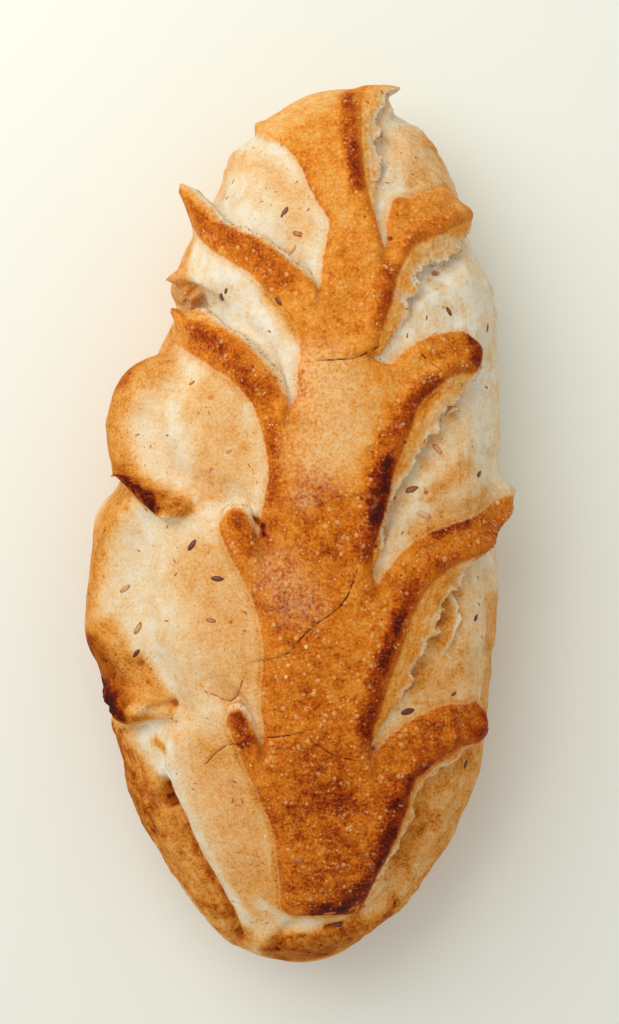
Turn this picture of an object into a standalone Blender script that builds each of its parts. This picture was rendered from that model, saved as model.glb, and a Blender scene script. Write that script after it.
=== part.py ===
"""A scored multigrain loaf: one baked piece, with a leaf of dark crust on top and seeds baked into it."""

import math

import bmesh
import bpy
import numpy as np
from mathutils import Euler, Matrix, Vector, noise
from mathutils.bvhtree import BVHTree

MM = 0.001

# The plain body is an oval dome on a flat foot: x runs across it, y along it, z up.
HALF_LENGTH = 140.2 * MM
MIDDLE_Y = -2.6 * MM
CENTRE_SHIFT_Y = 1.8 * MM  # brings the middle of the finished loaf's box over the origin
DOME_HEIGHT = 71 * MM
WAIST_HEIGHT = 27 * MM
FOOT_SHARE = 0.86  # the flat foot's width over the width at the waist
FOOT_REACH = 64 * MM
FULLNESS = 2.2  # 2 is an ellipse, and more is a squarer dome
RIM_ANGLE = math.radians(128)  # how far the skin turns from the top down to the foot

# The loaf bends to the right near its far end.
BEND = 10.6 * MM
BEND_START_Y = 22 * MM
BEND_END_Y = 90 * MM

# How far the waist reaches each side of the middle line, as millimetres along the loaf and then across it.
LEFT_REACH = (
    (-141, 72), (-122, 66.8), (-106, 67.3), (-90, 68.6), (-72, 66), (-62, 67.2), (-52, 64.3), (-38, 69.2),
    (-25, 68.4), (-10, 67.2), (5, 64.5), (10, 59.6), (14, 57.6), (20, 60.5), (30, 62.8), (42, 63.4),
    (48, 60.5), (53, 51.5), (59, 49.6), (68, 49.2), (74, 60), (83, 61.8), (112, 62), (116, 62.8), (120, 63),
    (125, 57), (131, 53), (141, 51),
)
RIGHT_REACH = (
    (-141, 60), (-122, 62.4), (-106, 66.4), (-90, 69), (-72, 69.6), (-50, 65.4), (-12, 64.2), (26, 66),
    (58, 64.8), (72, 64.4), (83, 60.4), (93, 59), (104, 62.3), (115, 66.8), (124, 69), (141, 69),
)

# The leaf of crust: its stem's left and right edges along the loaf, in millimetres.
STEM = (
    (-124, 0, 17), (-119, -5.7, 20), (-114, -6, 21.5), (-104, -7, 24.2), (-94, -8.3, 28.5),
    (-85, -11.3, 31), (-79, -12.5, 28), (-72, -12.5, 23.5), (-66, -11, 21.5), (-54, -11.8, 24.3),
    (-38, -11, 29.8), (-29, -12.3, 31.5), (-23, -13, 27), (-17, -12.5, 22.5), (-5, -12.5, 22),
    (4, -11.2, 24.5), (13, -9.5, 27), (22, -9.6, 30.3), (28, -9, 32.5), (33, -4, 33.5), (37, -1.3, 32.5),
    (46, -0.7, 31), (49.5, 0, 22.6), (52.5, 0, 23), (58, 0.2, 24.6), (64, 0.4, 26), (70, 5.6, 28),
    (79, 6.8, 27.6), (86, 8.1, 25.2), (92, 8.7, 23), (98, 5.1, 20.9), (103, 2, 19.8), (109.5, -1, 19.2),
    (115.5, -8, 18.8), (120, -18, 18.8), (124.5, -40, 18.6), (132, -50, 19), (137, -60, 26), (150, -60, 30),
)
STEM_END_Y = -122 * MM

# The barbs of the leaf, from the tip to the stem: (x, y, half width) in millimetres.
BARBS = (
    ((-33, 96, 1.6), (-28.3, 90, 3.2), (-20.2, 83.9, 4.2), (-12.5, 79.3, 4.6), (-7, 74, 5), (0, 67, 5.6),
     (6, 58, 6)),
    ((-40.5, 63.5, 1.8), (-37.4, 59.7, 3.6), (-31, 56, 4.8), (-24, 51.6, 5.6), (-16.7, 45.7, 5),
     (-9.5, 36.3, 4.7), (-6.6, 28, 5), (-4, 19.8, 5)),
    ((-19.6, -1.6, 4.6), (-16.4, -8, 5), (-12, -17.3, 4.6), (-8, -26.8, 4)),
    ((-19.2, -60, 3), (-15.6, -67.6, 3.4), (-11, -78, 3.6), (-7.5, -86, 3.6)),
    ((45.5, 97.6, 6.2), (38.5, 94.2, 7.2), (33, 90.5, 6.2), (30, 84, 3.6), (27, 78, 3.5), (24.5, 72, 3.6),
     (21, 62, 4)),
    ((45.4, 101.6, 3), (46.4, 95.8, 3.2)),
    ((31.4, 96.6, 3.6), (30, 90, 3.2)),
    ((47.3, 52.2, 6.4), (43, 50.8, 6.8), (37, 47, 7), (29.2, 38.5, 6.8), (25, 30.5, 7.3), (22.3, 22, 7.2)),
    ((50, 55.6, 3), (50, 48.8, 3)),
    ((62.5, 4.8, 1.8), (59.5, 1.6, 3.2), (55.5, -2.4, 4.7), (46, -6.7, 5.8), (38, -11, 6.2),
     (30, -20, 6.3), (25, -30, 6.5)),
    ((53, -62.4, 5.6), (47.9, -62.3, 6.4), (38.1, -65.9, 7), (29.4, -73, 7), (24, -84.8, 7)),
)
BARB_BLEND = 1.5 * MM

# Folds in the pale skin: half width, height (below zero is a groove) and the line (x, y), in millimetres.
FOLDS = (
    (5.5, 3.2, ((-43, 50), (-53, 43), (-57, 29), (-53.5, 17), (-46, 9.5), (-38.5, 4.5))),
    (6.5, -3.8, ((-39, 47), (-46, 37), (-47.5, 26), (-43.5, 16), (-36, 9), (-30, 4))),
    (5.5, 2.8, ((-52, 6), (-59, -3), (-63, -22), (-62.5, -38), (-59, -50), (-52.5, -59))),
    (6.5, -4.6, ((-49, 0), (-51, -18), (-49, -36), (-43, -50), (-39, -58))),
    (4.4, 2.2, ((-58, -66), (-55, -79), (-47.5, -93), (-37.5, -108), (-27, -122), (-19.5, -132))),
    (3.6, -2.4, ((-46, -64), (-45, -76), (-40, -88), (-33.5, -104), (-25.5, -118), (-19, -131))),
    (1.4, -2.6, ((-44.5, -81), (-41.5, -88), (-38.4, -93.4), (-35.2, -102), (-32.5, -107), (-29.2, -112),
                 (-26.6, -117.5), (-22.8, -122.5), (-21, -128), (-18.9, -133.5))),
    (3, -3, ((-53.5, -64.5), (-49, -65), (-42, -63.5))),
    (4.2, 2.4, ((-10, -131.5), (2, -131), (16, -127.5), (30, -120.5), (42, -112), (50, -101))),
    (1.3, -1.8, ((-8, -131), (-4.5, -127), (1, -124.8), (8.5, -126), (15.5, -124.5), (22.5, -120.5),
                 (28, -116))),
    (2, -1.2, ((55, 46), (60, 25), (60.5, -5), (59.5, -40), (56, -70), (48, -95))),
    (5, 1.6, ((50, 78), (56, 66), (58, 58))),
    (6, 1.8, ((44, 30), (50, 20), (52, 10))),
    (6, 1.8, ((42, -34), (49, -42), (52, -52))),
)

# Lips where one fold of skin lies over the next, high on the left of their line:
# reach of the high side, height, half width of the edge, and (x, y, share of the height).
LIPS = (
    (8, 3.8, 1.4, ((-59, 19.5, 0), (-56, 15, 0.5), (-53.8, 12, 0.9), (-50.3, 8, 1), (-46.8, 4.6, 1),
                   (-43, 1.6, 1), (-39.6, 0.2, 1), (-36.8, 0.8, 0.8), (-34.4, 3.4, 0.6), (-34.2, 8, 0))),
    (7, 3.2, 1.4, ((-64.5, -44, 0), (-62.3, -50, 0.5), (-60, -54.5, 0.9), (-56.8, -59.5, 1), (-53.8, -63, 1),
                   (-51.3, -64.2, 0.9), (-49.3, -61, 0.7), (-47, -57, 0.5), (-43, -55.5, 0.3),
                   (-38, -57.3, 0))),
    (4, 1.7, 1, ((43.5, -42, 0), (44.6, -39.7, 0.6), (46.6, -35.9, 1), (50, -29.8, 1), (49.3, -24.7, 1),
                   (48.5, -21.9, 1), (45, -17, 0.8), (41.5, -13.4, 0))),
)

# The crust stands over its cuts as an ear, to the lower right on the right side and to the upper right on
# the left.
RIGHT_EAR_WAY = (0.8, -0.6)
LEFT_EAR_WAY = (0.5, 0.866)
EAR_PROBE = 2.5 * MM
EAR_END_Y = -119 * MM  # towards the foot the ears die out
EAR_FULL_Y = -100 * MM
EAR_WIDTH = 6 * MM
CRUST_RISE = 2.2 * MM
CRUST_SHOULDER = 2.2 * MM
TORN_LEFT = 6.2 * MM
TORN_LEFT_SHARE = 0.3  # the torn edge's width near the stem's left side over that at the ear's tip
TORN_LEFT_START = -22 * MM
TORN_LEFT_END = -36 * MM
# The width of the torn edge on the right, as millimetres along the loaf and then across the edge.
TORN_RIGHT = (
    (-141, 3), (-62, 4.6), (-50, 6.2), (-18, 6), (-9, 3.6), (-3, 1.8), (9, 2), (16, 4.6), (24, 6.2),
    (90, 6.2), (104, 5), (141, 6),
)
TORN_END_START_X = 45 * MM  # towards the ears' ends on the right the torn edge narrows to this share
TORN_END_X = 51 * MM
TORN_END_SHARE = 0.25
CUT_WIDTH = 9.5 * MM
CUT_WANDER = (15 * MM, 0.35, 61.7)
HINGE_DROP = 0.9 * MM
HINGE_REACH = 4 * MM
LIP_SLIDE_WIDTH = 3.2 * MM
SIDE_BLEND = 5 * MM

# The cuts were made in the top, so their relief dies out down the sides.
CUTS_START_HEIGHT = 20 * MM
CUTS_FULL_HEIGHT = 38 * MM

# The ends of the ears that stand out: anchor, way it points, length and radius, in millimetres.
EAR_TIPS = (
    ((-31.3, 98, 42), (-0.6, 0.78, 0.22), 12, 10),
    ((-39.5, 65.5, 40), (-0.5, 0.85, 0.15), 8, 6.5),
    ((-38.5, 77, 38), (-1, -0.1, 0.1), 4.5, 6),
    ((50, 92, 38), (1, -0.2, 0.1), 1.6, 5),
    ((61.5, 7.5, 38), (0.93, 0.36, 0.1), 7.5, 9),
    ((54, -64, 40), (1, -0.5, 0.2), 3, 6),
    ((22.4, 130.4, 36), (0.42, 0.88, 0.25), 11, 9),
    ((26.6, 137.5, 38), (1, -0.1, 0.2), 6, 4),
    ((26.8, 130.2, 38), (1, 0.1, 0), 4.5, 2.8),
    ((29, 133.8, 38), (-1, -0.2, 0), 3.4, 3),
)

EAR_RISE = 2.6 * MM
CUT_DEPTH = 3.8 * MM
BRINK_WIDTH = 2.4 * MM
OVERHANG = 0.8 * MM

# The baked skin is never even: noise sizes, heights and the offsets that keep them apart.
SWELL = (26 * MM, 1.1 * MM, 0)
LUMP = (8 * MM, 0.45 * MM, 9.1)
RAG = (5 * MM, 0.45, 3.7)

# The skin is shaped as a fine grid, then thinned to what its relief needs.
GRID_ACROSS = 180
GRID_ALONG = 320
LOAF_TRIANGLES = 9400
SHARP_ANGLE = math.radians(50)

# Seeds that stand out of the skin: x, y, turn in degrees and size as a share of its kind's.
FLAX_SIZE = (4.6 * MM, 1.95 * MM, 1.4 * MM)
FLAX = (
    (-4.7, 94.8, 58, 0.9), (-24.3, 69.5, 60, 1), (-22.6, 71.2, 60, 0.7), (-6.4, 66.8, -42, 0.9),
    (46, 64.6, -55, 0.8), (59, 61, 75, 0.8), (-32.4, -6.9, 55, 1), (-24.7, -17, -4, 0.9),
    (33, -57.6, 15, 1.1), (47.6, -52.8, 35, 0.7), (52.3, -76.4, 60, 0.8), (54.8, -29.8, 50, 0.8),
    (55.4, 14.6, 40, 0.8), (12, -125.6, 12, 0.8), (-50.4, -40.5, 50, 0.8), (33.8, 10.1, 22, 1),
)
KERNEL_SIZE = (4.6 * MM, 1.85 * MM, 1.4 * MM)
KERNELS = (
    (-2.9, 83.6, 46, 1.5), (-0.2, 88.2, -16, 0.9), (22.9, 105, 5, 0.9), (42.2, 22.2, -50, 1),
    (37.4, 2.4, -20, 1.1), (-54.2, -20.8, 35, 0.95), (-50, -33, 60, 1), (-26.6, -29.6, -10, 0.8),
    (-32.9, 42.4, 20, 0.7), (9.3, -121, 2, 1), (-0.3, -103, 15, 0.85),
)
SEED_SINK = 0.6  # the share of a seed's height that lies in the dough

CRUST_COLOUR = (0.54, 0.235, 0.062, 1)
CRUST_ROUGHNESS = 0.62


def clear_scene():
    for thing in list(bpy.data.objects):
        bpy.data.objects.remove(thing, do_unlink=True)


def clamp01(value):
    return np.clip(value, 0, 1)


def smooth_step(low, high, value):
    t = clamp01((value - low) / (high - low))
    return t * t * (3 - 2 * t)


def bell(distance, width):
    return np.exp(-((distance / width) ** 2))


def through_points(knots, values, at):
    """A smooth line through the values at the rising knots."""
    knots = np.asarray(knots, float)
    values = np.asarray(values, float)
    slopes = np.gradient(values, knots)
    i = np.clip(np.searchsorted(knots, at) - 1, 0, len(knots) - 2)
    step = knots[i + 1] - knots[i]
    t = clamp01((at - knots[i]) / step)
    rise = values[i] * (2 * t**3 - 3 * t**2 + 1) + values[i + 1] * (3 * t**2 - 2 * t**3)
    bend = slopes[i] * (t**3 - 2 * t**2 + t) + slopes[i + 1] * (t**3 - t**2)
    return rise + bend * step


def fine_line(points, count=24):
    """Many points along a smooth line through a few, as an array with a row each."""
    points = np.array(points, float) * MM
    ends = np.linalg.norm(np.diff(points[:, :2], axis=0), axis=1)
    knots = np.concatenate([[0], np.cumsum(ends)])
    at = np.linspace(0, knots[-1], count)
    return np.stack([through_points(knots, column, at) for column in points.T], axis=1)


def near_line(x, y, line, reach):
    """Which places lie in the line's box, widened by the reach."""
    low, high = line[:, :2].min(0) - reach, line[:, :2].max(0) + reach
    return (x > low[0]) & (x < high[0]) & (y > low[1]) & (y < high[1])


def inside_stroke(x, y, line, reach=16 * MM):
    """How deep a place lies inside a stroke of changing width, below zero outside it."""
    best = np.full(np.shape(x), -1.0)
    close = near_line(x, y, line, reach)
    here_x, here_y, deepest = x[close], y[close], best[close]
    for (x0, y0, r0), (x1, y1, r1) in zip(line[:-1], line[1:]):
        dx, dy = x1 - x0, y1 - y0
        t = clamp01(((here_x - x0) * dx + (here_y - y0) * dy) / (dx * dx + dy * dy))
        depth = r0 + (r1 - r0) * t - np.hypot(here_x - x0 - dx * t, here_y - y0 - dy * t)
        deepest = np.maximum(deepest, depth)
    best[close] = deepest
    return best


def beside_line(x, y, line, reach=16 * MM):
    """Distance from an open line, above zero on its left, and the line's third value at its nearest point."""
    nearest = np.full(np.shape(x), reach)
    side = np.ones(np.shape(x))
    share = np.zeros(np.shape(x))
    for (x0, y0, s0), (x1, y1, s1) in zip(line[:-1], line[1:]):
        dx, dy = x1 - x0, y1 - y0
        t = clamp01(((x - x0) * dx + (y - y0) * dy) / (dx * dx + dy * dy))
        away_x, away_y = x - x0 - dx * t, y - y0 - dy * t
        distance = np.hypot(away_x, away_y)
        nearer = distance < nearest
        nearest = np.where(nearer, distance, nearest)
        side = np.where(nearer, np.sign(dx * away_y - dy * away_x), side)
        share = np.where(nearer, s0 + (s1 - s0) * t, share)
    return nearest * side, share


def soft_max(a, b, blend):
    h = clamp01(0.5 + 0.5 * (a - b) / blend)
    return b * (1 - h) + a * h + blend * h * (1 - h)


def bend_of(y):
    return BEND * smooth_step(BEND_START_Y, BEND_END_Y, y)


def stem_edges(y):
    stations = np.array(STEM, float) * MM
    left = through_points(stations[:, 0], stations[:, 1], y)
    right = through_points(stations[:, 0], stations[:, 2], y)
    return left, right


BARB_LINES = [fine_line(barb) for barb in BARBS]
FOLD_LINES = [(width * MM, height * MM, fine_line([(*p, 0) for p in line])) for width, height, line in FOLDS]
LIP_LINES = [
    (reach * MM, height * MM, edge * MM, np.array(line, float) * (MM, MM, 1))
    for reach, height, edge, line in LIPS
]


def inside_crust(x, y):
    """How deep a place lies inside the leaf of crust, below zero in the pale cuts."""
    left, right = stem_edges(y)
    depth = np.minimum(np.minimum(x - left, right - x), y - STEM_END_Y)
    for line in BARB_LINES:
        depth = soft_max(depth, inside_stroke(x, y, line), BARB_BLEND)
    return depth


def ear_share(x, y):
    """How much of an ear the nearest crust edge has: 1 over a cut, 0 where the cut hinges."""
    left, right = stem_edges(y)
    shares = []
    for way_x, way_y in (LEFT_EAR_WAY, RIGHT_EAR_WAY):
        back = inside_crust(x - way_x * EAR_PROBE, y - way_y * EAR_PROBE)
        front = inside_crust(x + way_x * EAR_PROBE, y + way_y * EAR_PROBE)
        shares.append(smooth_step(0.1, 0.75, (back - front) / (2 * EAR_PROBE)))
    side = smooth_step(-SIDE_BLEND, SIDE_BLEND, x - (left + right) / 2)
    side = np.where(y > BEND_END_Y + 5 * SIDE_BLEND, 1, side)
    share = shares[0] * (1 - side) + shares[1] * side
    return share * smooth_step(EAR_END_Y, EAR_FULL_Y, y), side


def noise_at(places, size, offset):
    """Smooth noise from -1 to 1 at each place."""
    shifted = places / size + (offset, 0, 0)
    return np.array([noise.noise(place) for place in shifted.tolist()])


def dome(across, along):
    """The plain body's skin, from disc coordinates whose rim is the edge of the foot."""
    radius = np.maximum(np.hypot(across, along), 1e-6)
    angle = radius * RIM_ANGLE
    upper = np.minimum(angle, math.pi / 2)
    tuck = clamp01((angle - math.pi / 2) / (RIM_ANGLE - math.pi / 2)) * math.pi / 2
    reach = np.sin(upper) ** (2 / FULLNESS) * (FOOT_SHARE + (1 - FOOT_SHARE) * np.cos(tuck))
    height = WAIST_HEIGHT * (1 - np.sin(tuck))
    height = height + (DOME_HEIGHT - WAIST_HEIGHT) * np.maximum(np.cos(upper), 0) ** (2 / FULLNESS)
    share_x, share_y = across / radius * reach, along / radius * reach
    y = MIDDLE_Y + HALF_LENGTH * share_y
    left = through_points(*np.transpose(LEFT_REACH), y / MM) * MM
    right = through_points(*np.transpose(RIGHT_REACH), y / MM) * MM
    lobes = smooth_step(0, WAIST_HEIGHT, height)
    side = smooth_step(-0.06, 0.06, share_x)
    width = FOOT_REACH + ((left * (1 - side) + right * side) - FOOT_REACH) * lobes
    x = bend_of(y) + width * share_x
    return np.stack([x, y, height], axis=-1)


def dome_normals(across, along, step=1e-3):
    span_x = dome(across + step, along) - dome(across - step, along)
    span_y = dome(across, along + step) - dome(across, along - step)
    normals = np.cross(span_x, span_y)
    return normals / np.linalg.norm(normals, axis=-1, keepdims=True)


def torn_width(places, side):
    """How wide the torn edge is beside the crust."""
    x, y, _ = places.T
    widened = smooth_step(TORN_LEFT_START, TORN_LEFT_END, x)
    left = TORN_LEFT * (TORN_LEFT_SHARE + (1 - TORN_LEFT_SHARE) * widened)
    right = through_points(*np.transpose(TORN_RIGHT), y / MM) * MM
    right = right * (1 - (1 - TORN_END_SHARE) * smooth_step(TORN_END_START_X, TORN_END_X, x))
    return (1 + RAG[1] * noise_at(places * (1, 1, 0), RAG[0], RAG[2])) * (left + (right - left) * side)


def relief(places):
    """How far the skin stands off the dome, and how far it slides sideways as an ear."""
    x, y, z = places.T
    depth = inside_crust(x, y)
    ear, side = ear_share(x, y)
    torn = torn_width(places, side)
    inside = np.maximum(depth, 0)
    outside = np.maximum(-depth, 0)
    past = np.maximum(outside - torn, 0)
    lift = CRUST_RISE * (1 - np.exp(-inside / CRUST_SHOULDER)) + EAR_RISE * ear * bell(inside, EAR_WIDTH)
    wander = CUT_WANDER[1] * noise_at(places * (1, 1, 0), CUT_WANDER[0], CUT_WANDER[2])
    deep = CUT_DEPTH * (1 + wander)
    cut = deep * ear * smooth_step(0, BRINK_WIDTH, past) * bell(past, CUT_WIDTH) * (depth < 0)
    lift = lift - ear * EAR_RISE * clamp01(outside / torn) - cut
    lift = lift - HINGE_DROP * (1 - ear) * (1 - np.exp(-outside / HINGE_REACH))
    slide = OVERHANG * ear * bell(np.maximum(torn - outside, 0), LIP_SLIDE_WIDTH) * (outside <= torn)
    for width, height, line in FOLD_LINES:
        lift = lift + height * bell(inside_stroke(x, y, line), width)
    for reach, height, edge, line in LIP_LINES:
        beside, share = beside_line(x, y, line)
        high = smooth_step(-edge, edge, beside)
        fallen = 0.5 * (1 - high) * bell(np.minimum(beside, 0), 0.5 * reach)
        lift = lift + height * share * (high * bell(np.maximum(beside, 0), reach) - fallen)
    cuts_hold = smooth_step(CUTS_START_HEIGHT, CUTS_FULL_HEIGHT, z)
    swells = SWELL[1] * noise_at(places, SWELL[0], SWELL[2]) + LUMP[1] * noise_at(places, LUMP[0], LUMP[2])
    lift = lift * cuts_hold + swells * smooth_step(0, WAIST_HEIGHT, z)
    slide = slide * cuts_hold
    way_x = LEFT_EAR_WAY[0] * (1 - side) + RIGHT_EAR_WAY[0] * side
    way_y = LEFT_EAR_WAY[1] * (1 - side) + RIGHT_EAR_WAY[1] * side
    return lift, np.stack([slide * way_x, slide * way_y, np.zeros_like(slide)], axis=-1)


def pull_tips(places):
    """Draws the skin out where an ear's end stands clear of the loaf."""
    for anchor, way, length, radius in EAR_TIPS:
        away = np.linalg.norm((places - np.array(anchor) * MM) * (1, 1, 0.8), axis=1) / (radius * MM)
        pull = clamp01(1 - away) ** 1.3 * length * MM
        places = places + pull[:, None] * np.array(Vector(way).normalized())
    return places


def skin_place(across, along):
    """Finished places of the skin, for disc coordinates."""
    plain = dome(across, along)
    lift, shift = relief(plain)
    places = pull_tips(plain + dome_normals(across, along) * lift[:, None] + shift)
    places[:, 1] += CENTRE_SHIFT_Y
    places[:, 2] = np.maximum(places[:, 2], 0)
    return places


def square_to_disc(a, b):
    return a * np.sqrt(1 - b * b / 2), b * np.sqrt(1 - a * a / 2)


def crust_material():
    material = bpy.data.materials.new("baked crust")
    material.use_nodes = True
    shader = material.node_tree.nodes["Principled BSDF"]
    shader.inputs["Base Color"].default_value = CRUST_COLOUR
    shader.inputs["Roughness"].default_value = CRUST_ROUGHNESS
    return material


def move_to(collection, thing):
    for old in list(thing.users_collection):
        old.objects.unlink(thing)
    collection.objects.link(thing)


def make_loaf(parts):
    """The loaf's skin from a grid primitive, closed by its flat foot."""
    bpy.ops.mesh.primitive_grid_add(x_subdivisions=GRID_ACROSS, y_subdivisions=GRID_ALONG, size=2)
    loaf = bpy.context.object
    loaf.name = "loaf"
    move_to(parts, loaf)
    flat = np.empty(len(loaf.data.vertices) * 3, np.float32)
    loaf.data.vertices.foreach_get("co", flat)
    grid = flat.reshape(-1, 3).astype(float)
    places = skin_place(*square_to_disc(grid[:, 0], grid[:, 1]))
    on_rim = np.maximum(abs(grid[:, 0]), abs(grid[:, 1])) > 0.9999
    places[on_rim, 2] = 0
    loaf.data.vertices.foreach_set("co", places.astype(np.float32).ravel())
    shape = bmesh.new()
    shape.from_mesh(loaf.data)
    rim = [edge for edge in shape.edges if edge.is_boundary]
    bmesh.ops.contextual_create(shape, geom=rim)
    bmesh.ops.recalc_face_normals(shape, faces=shape.faces)
    bmesh.ops.triangulate(shape, faces=shape.faces)
    faces = len(shape.faces)
    shape.to_mesh(loaf.data)
    shape.free()
    thin = loaf.modifiers.new("thin to its relief", "DECIMATE")
    thin.ratio = LOAF_TRIANGLES / faces
    return loaf


def make_seed(name, size, spot_and_turn, surface, seeds):
    """A seed partly sunk in the skin, lying along it."""
    x, y, turn, share = spot_and_turn
    above = Vector((x * MM, y * MM + CENTRE_SHIFT_Y, 2 * DOME_HEIGHT))
    spot, normal, _, _ = surface.ray_cast(above, Vector((0, 0, -1)))
    bpy.ops.mesh.primitive_uv_sphere_add(segments=6, ring_count=4, radius=0.5)
    seed = bpy.context.object
    seed.name = name
    seed.data.transform(Euler((0, math.pi / 2, 0)).to_matrix().to_4x4())
    seed.data.transform(Matrix.Diagonal((*(side * share for side in size), 1)))
    lie = Vector((0, 0, 1)).rotation_difference(normal).to_matrix().to_4x4()
    spin = Matrix.Rotation(math.radians(turn), 4, "Z")
    lift = Matrix.Translation(spot + normal * size[2] * share * (0.5 - SEED_SINK))
    seed.data.transform(lift @ lie @ spin)
    move_to(seeds, seed)


def apply_modifiers(thing):
    evaluated = thing.evaluated_get(bpy.context.evaluated_depsgraph_get())
    mesh = bpy.data.meshes.new_from_object(evaluated)
    thing.modifiers.clear()
    thing.data = mesh


def fuse_seeds(loaf, seeds):
    """Joins every seed to the loaf in one union, then removes the loose seeds."""
    shape = bmesh.new()
    shape.from_mesh(loaf.data)
    surface = BVHTree.FromBMesh(shape)
    shape.free()
    for kind, size, spots in (("flax", FLAX_SIZE, FLAX), ("kernel", KERNEL_SIZE, KERNELS)):
        for number, spot_and_turn in enumerate(spots, 1):
            make_seed(f"{kind}_{number}", size, spot_and_turn, surface, seeds)
    union = loaf.modifiers.new("seeds", "BOOLEAN")
    union.operation = "UNION"
    union.operand_type = "COLLECTION"
    union.collection = seeds
    union.solver = "EXACT"
    bpy.context.view_layer.update()
    apply_modifiers(loaf)
    for seed in list(seeds.objects):
        bpy.data.objects.remove(seed, do_unlink=True)


def main():
    clear_scene()
    parts = bpy.data.collections.new("multigrain loaf")
    seeds = bpy.data.collections.new("seeds to fuse")
    bpy.context.scene.collection.children.link(parts)
    bpy.context.scene.collection.children.link(seeds)
    loaf = make_loaf(parts)
    bpy.context.view_layer.update()
    apply_modifiers(loaf)
    fuse_seeds(loaf, seeds)
    loaf.data.materials.clear()
    loaf.data.materials.append(crust_material())
    loaf.data.shade_smooth()
    loaf.data.set_sharp_from_angle(angle=SHARP_ANGLE)


main()
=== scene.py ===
"""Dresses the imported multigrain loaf: browned crust over pale cuts, torn ears, blisters and seeds."""

import math

import bmesh
import bpy
import numpy as np
from bpy.props import FloatProperty, FloatVectorProperty, IntProperty, PointerProperty
from mathutils import Matrix, Vector, noise
from mathutils.bvhtree import BVHTree


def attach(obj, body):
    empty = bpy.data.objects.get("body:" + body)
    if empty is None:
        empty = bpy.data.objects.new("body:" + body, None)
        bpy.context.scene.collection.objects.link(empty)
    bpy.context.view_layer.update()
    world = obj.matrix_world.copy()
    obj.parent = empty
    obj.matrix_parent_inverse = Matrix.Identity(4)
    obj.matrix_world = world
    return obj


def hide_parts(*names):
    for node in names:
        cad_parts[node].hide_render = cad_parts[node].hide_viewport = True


bl_info = {
    "name": "Multigrain loaf",
    "version": (1, 0, 0),
    "blender": (4, 5, 0),
    "location": "3D View > Sidebar > Loaf",
    "description": "Makes the visible skin, seeds, blisters and torn crumb of a scored multigrain loaf",
    "category": "Add Mesh",
}

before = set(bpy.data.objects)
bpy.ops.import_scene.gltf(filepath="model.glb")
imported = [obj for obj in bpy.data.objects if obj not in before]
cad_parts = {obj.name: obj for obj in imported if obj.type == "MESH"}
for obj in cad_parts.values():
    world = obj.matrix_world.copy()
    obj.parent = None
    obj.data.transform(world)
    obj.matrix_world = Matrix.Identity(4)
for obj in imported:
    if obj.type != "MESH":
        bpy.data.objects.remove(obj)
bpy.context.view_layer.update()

MM = 0.001

# The plain body is an oval dome on a flat foot: x runs across it, y along it, z up.
HALF_LENGTH = 140.2 * MM
MIDDLE_Y = -2.6 * MM
CENTRE_SHIFT_Y = 1.8 * MM  # brings the middle of the finished loaf's box over the origin
DOME_HEIGHT = 71 * MM
WAIST_HEIGHT = 27 * MM
FOOT_SHARE = 0.86  # the flat foot's width over the width at the waist
FOOT_REACH = 64 * MM
FULLNESS = 2.2  # 2 is an ellipse, and more is a squarer dome
RIM_ANGLE = math.radians(128)  # how far the skin turns from the top down to the foot

# The loaf bends to the right near its far end.
BEND = 10.6 * MM
BEND_START_Y = 22 * MM
BEND_END_Y = 90 * MM
SIDE_STRIP = 0.06  # the left reach turns into the right over this share of the width, each side of the middle

# How far the waist reaches each side of the middle line, as millimetres along the loaf and then across it.
LEFT_REACH = (
    (-141, 72), (-122, 66.8), (-106, 67.3), (-90, 68.6), (-72, 66), (-62, 67.2), (-52, 64.3), (-38, 69.2),
    (-25, 68.4), (-10, 67.2), (5, 64.5), (10, 59.6), (14, 57.6), (20, 60.5), (30, 62.8), (42, 63.4),
    (48, 60.5), (53, 51.5), (59, 49.6), (68, 49.2), (74, 60), (83, 61.8), (112, 61.8), (115, 63.4),
    (118.5, 66.8), (122.5, 60), (126, 57.4), (131, 53), (141, 51),
)
RIGHT_REACH = (
    (-141, 60), (-122, 62.4), (-106, 66.4), (-90, 69), (-72, 69.6), (-50, 65.4), (-12, 64.2), (26, 66),
    (58, 64.8), (72, 64.4), (83, 60.4), (93, 59), (104, 62.3), (115, 66.8), (124, 69), (141, 69),
)

# The leaf of crust: its stem's left and right edges along the loaf, in millimetres.
STEM = (
    (-124, 0, 17), (-119, -5.7, 20), (-114, -6, 21.5), (-104, -7, 24.2), (-94, -8.3, 28.5),
    (-85, -11.3, 31), (-79, -12.5, 28), (-72, -12.5, 23.5), (-66, -11, 21.5), (-54, -11.8, 24.3),
    (-38, -11, 29.8), (-29, -12.3, 31.5), (-23, -13, 27), (-17, -12.5, 22.5), (-5, -12.5, 22),
    (4, -11.2, 24.5), (13, -9.5, 27), (22, -9.6, 30.3), (28, -9, 32.5), (33, -4, 33.5), (37, -1.3, 32.5),
    (46, -0.7, 31), (49.5, 0, 22.6), (52.5, 0, 23), (58, 0.2, 24.6), (64, 0.4, 26), (70, 5.6, 28),
    (79, 6.8, 27.6), (86, 8.1, 25.2), (92, 8.7, 23), (98, 5.1, 20.9), (103, 2.6, 19.8), (109.5, 0.2, 19.2),
    (114, -2.6, 19), (118.5, -7.4, 18.8), (122.5, -13, 18.8), (126, -19, 18.6), (129, -40, 18.8),
    (132, -50, 19), (137, -60, 26), (150, -60, 30),
)
STEM_END_Y = -122 * MM

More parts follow.
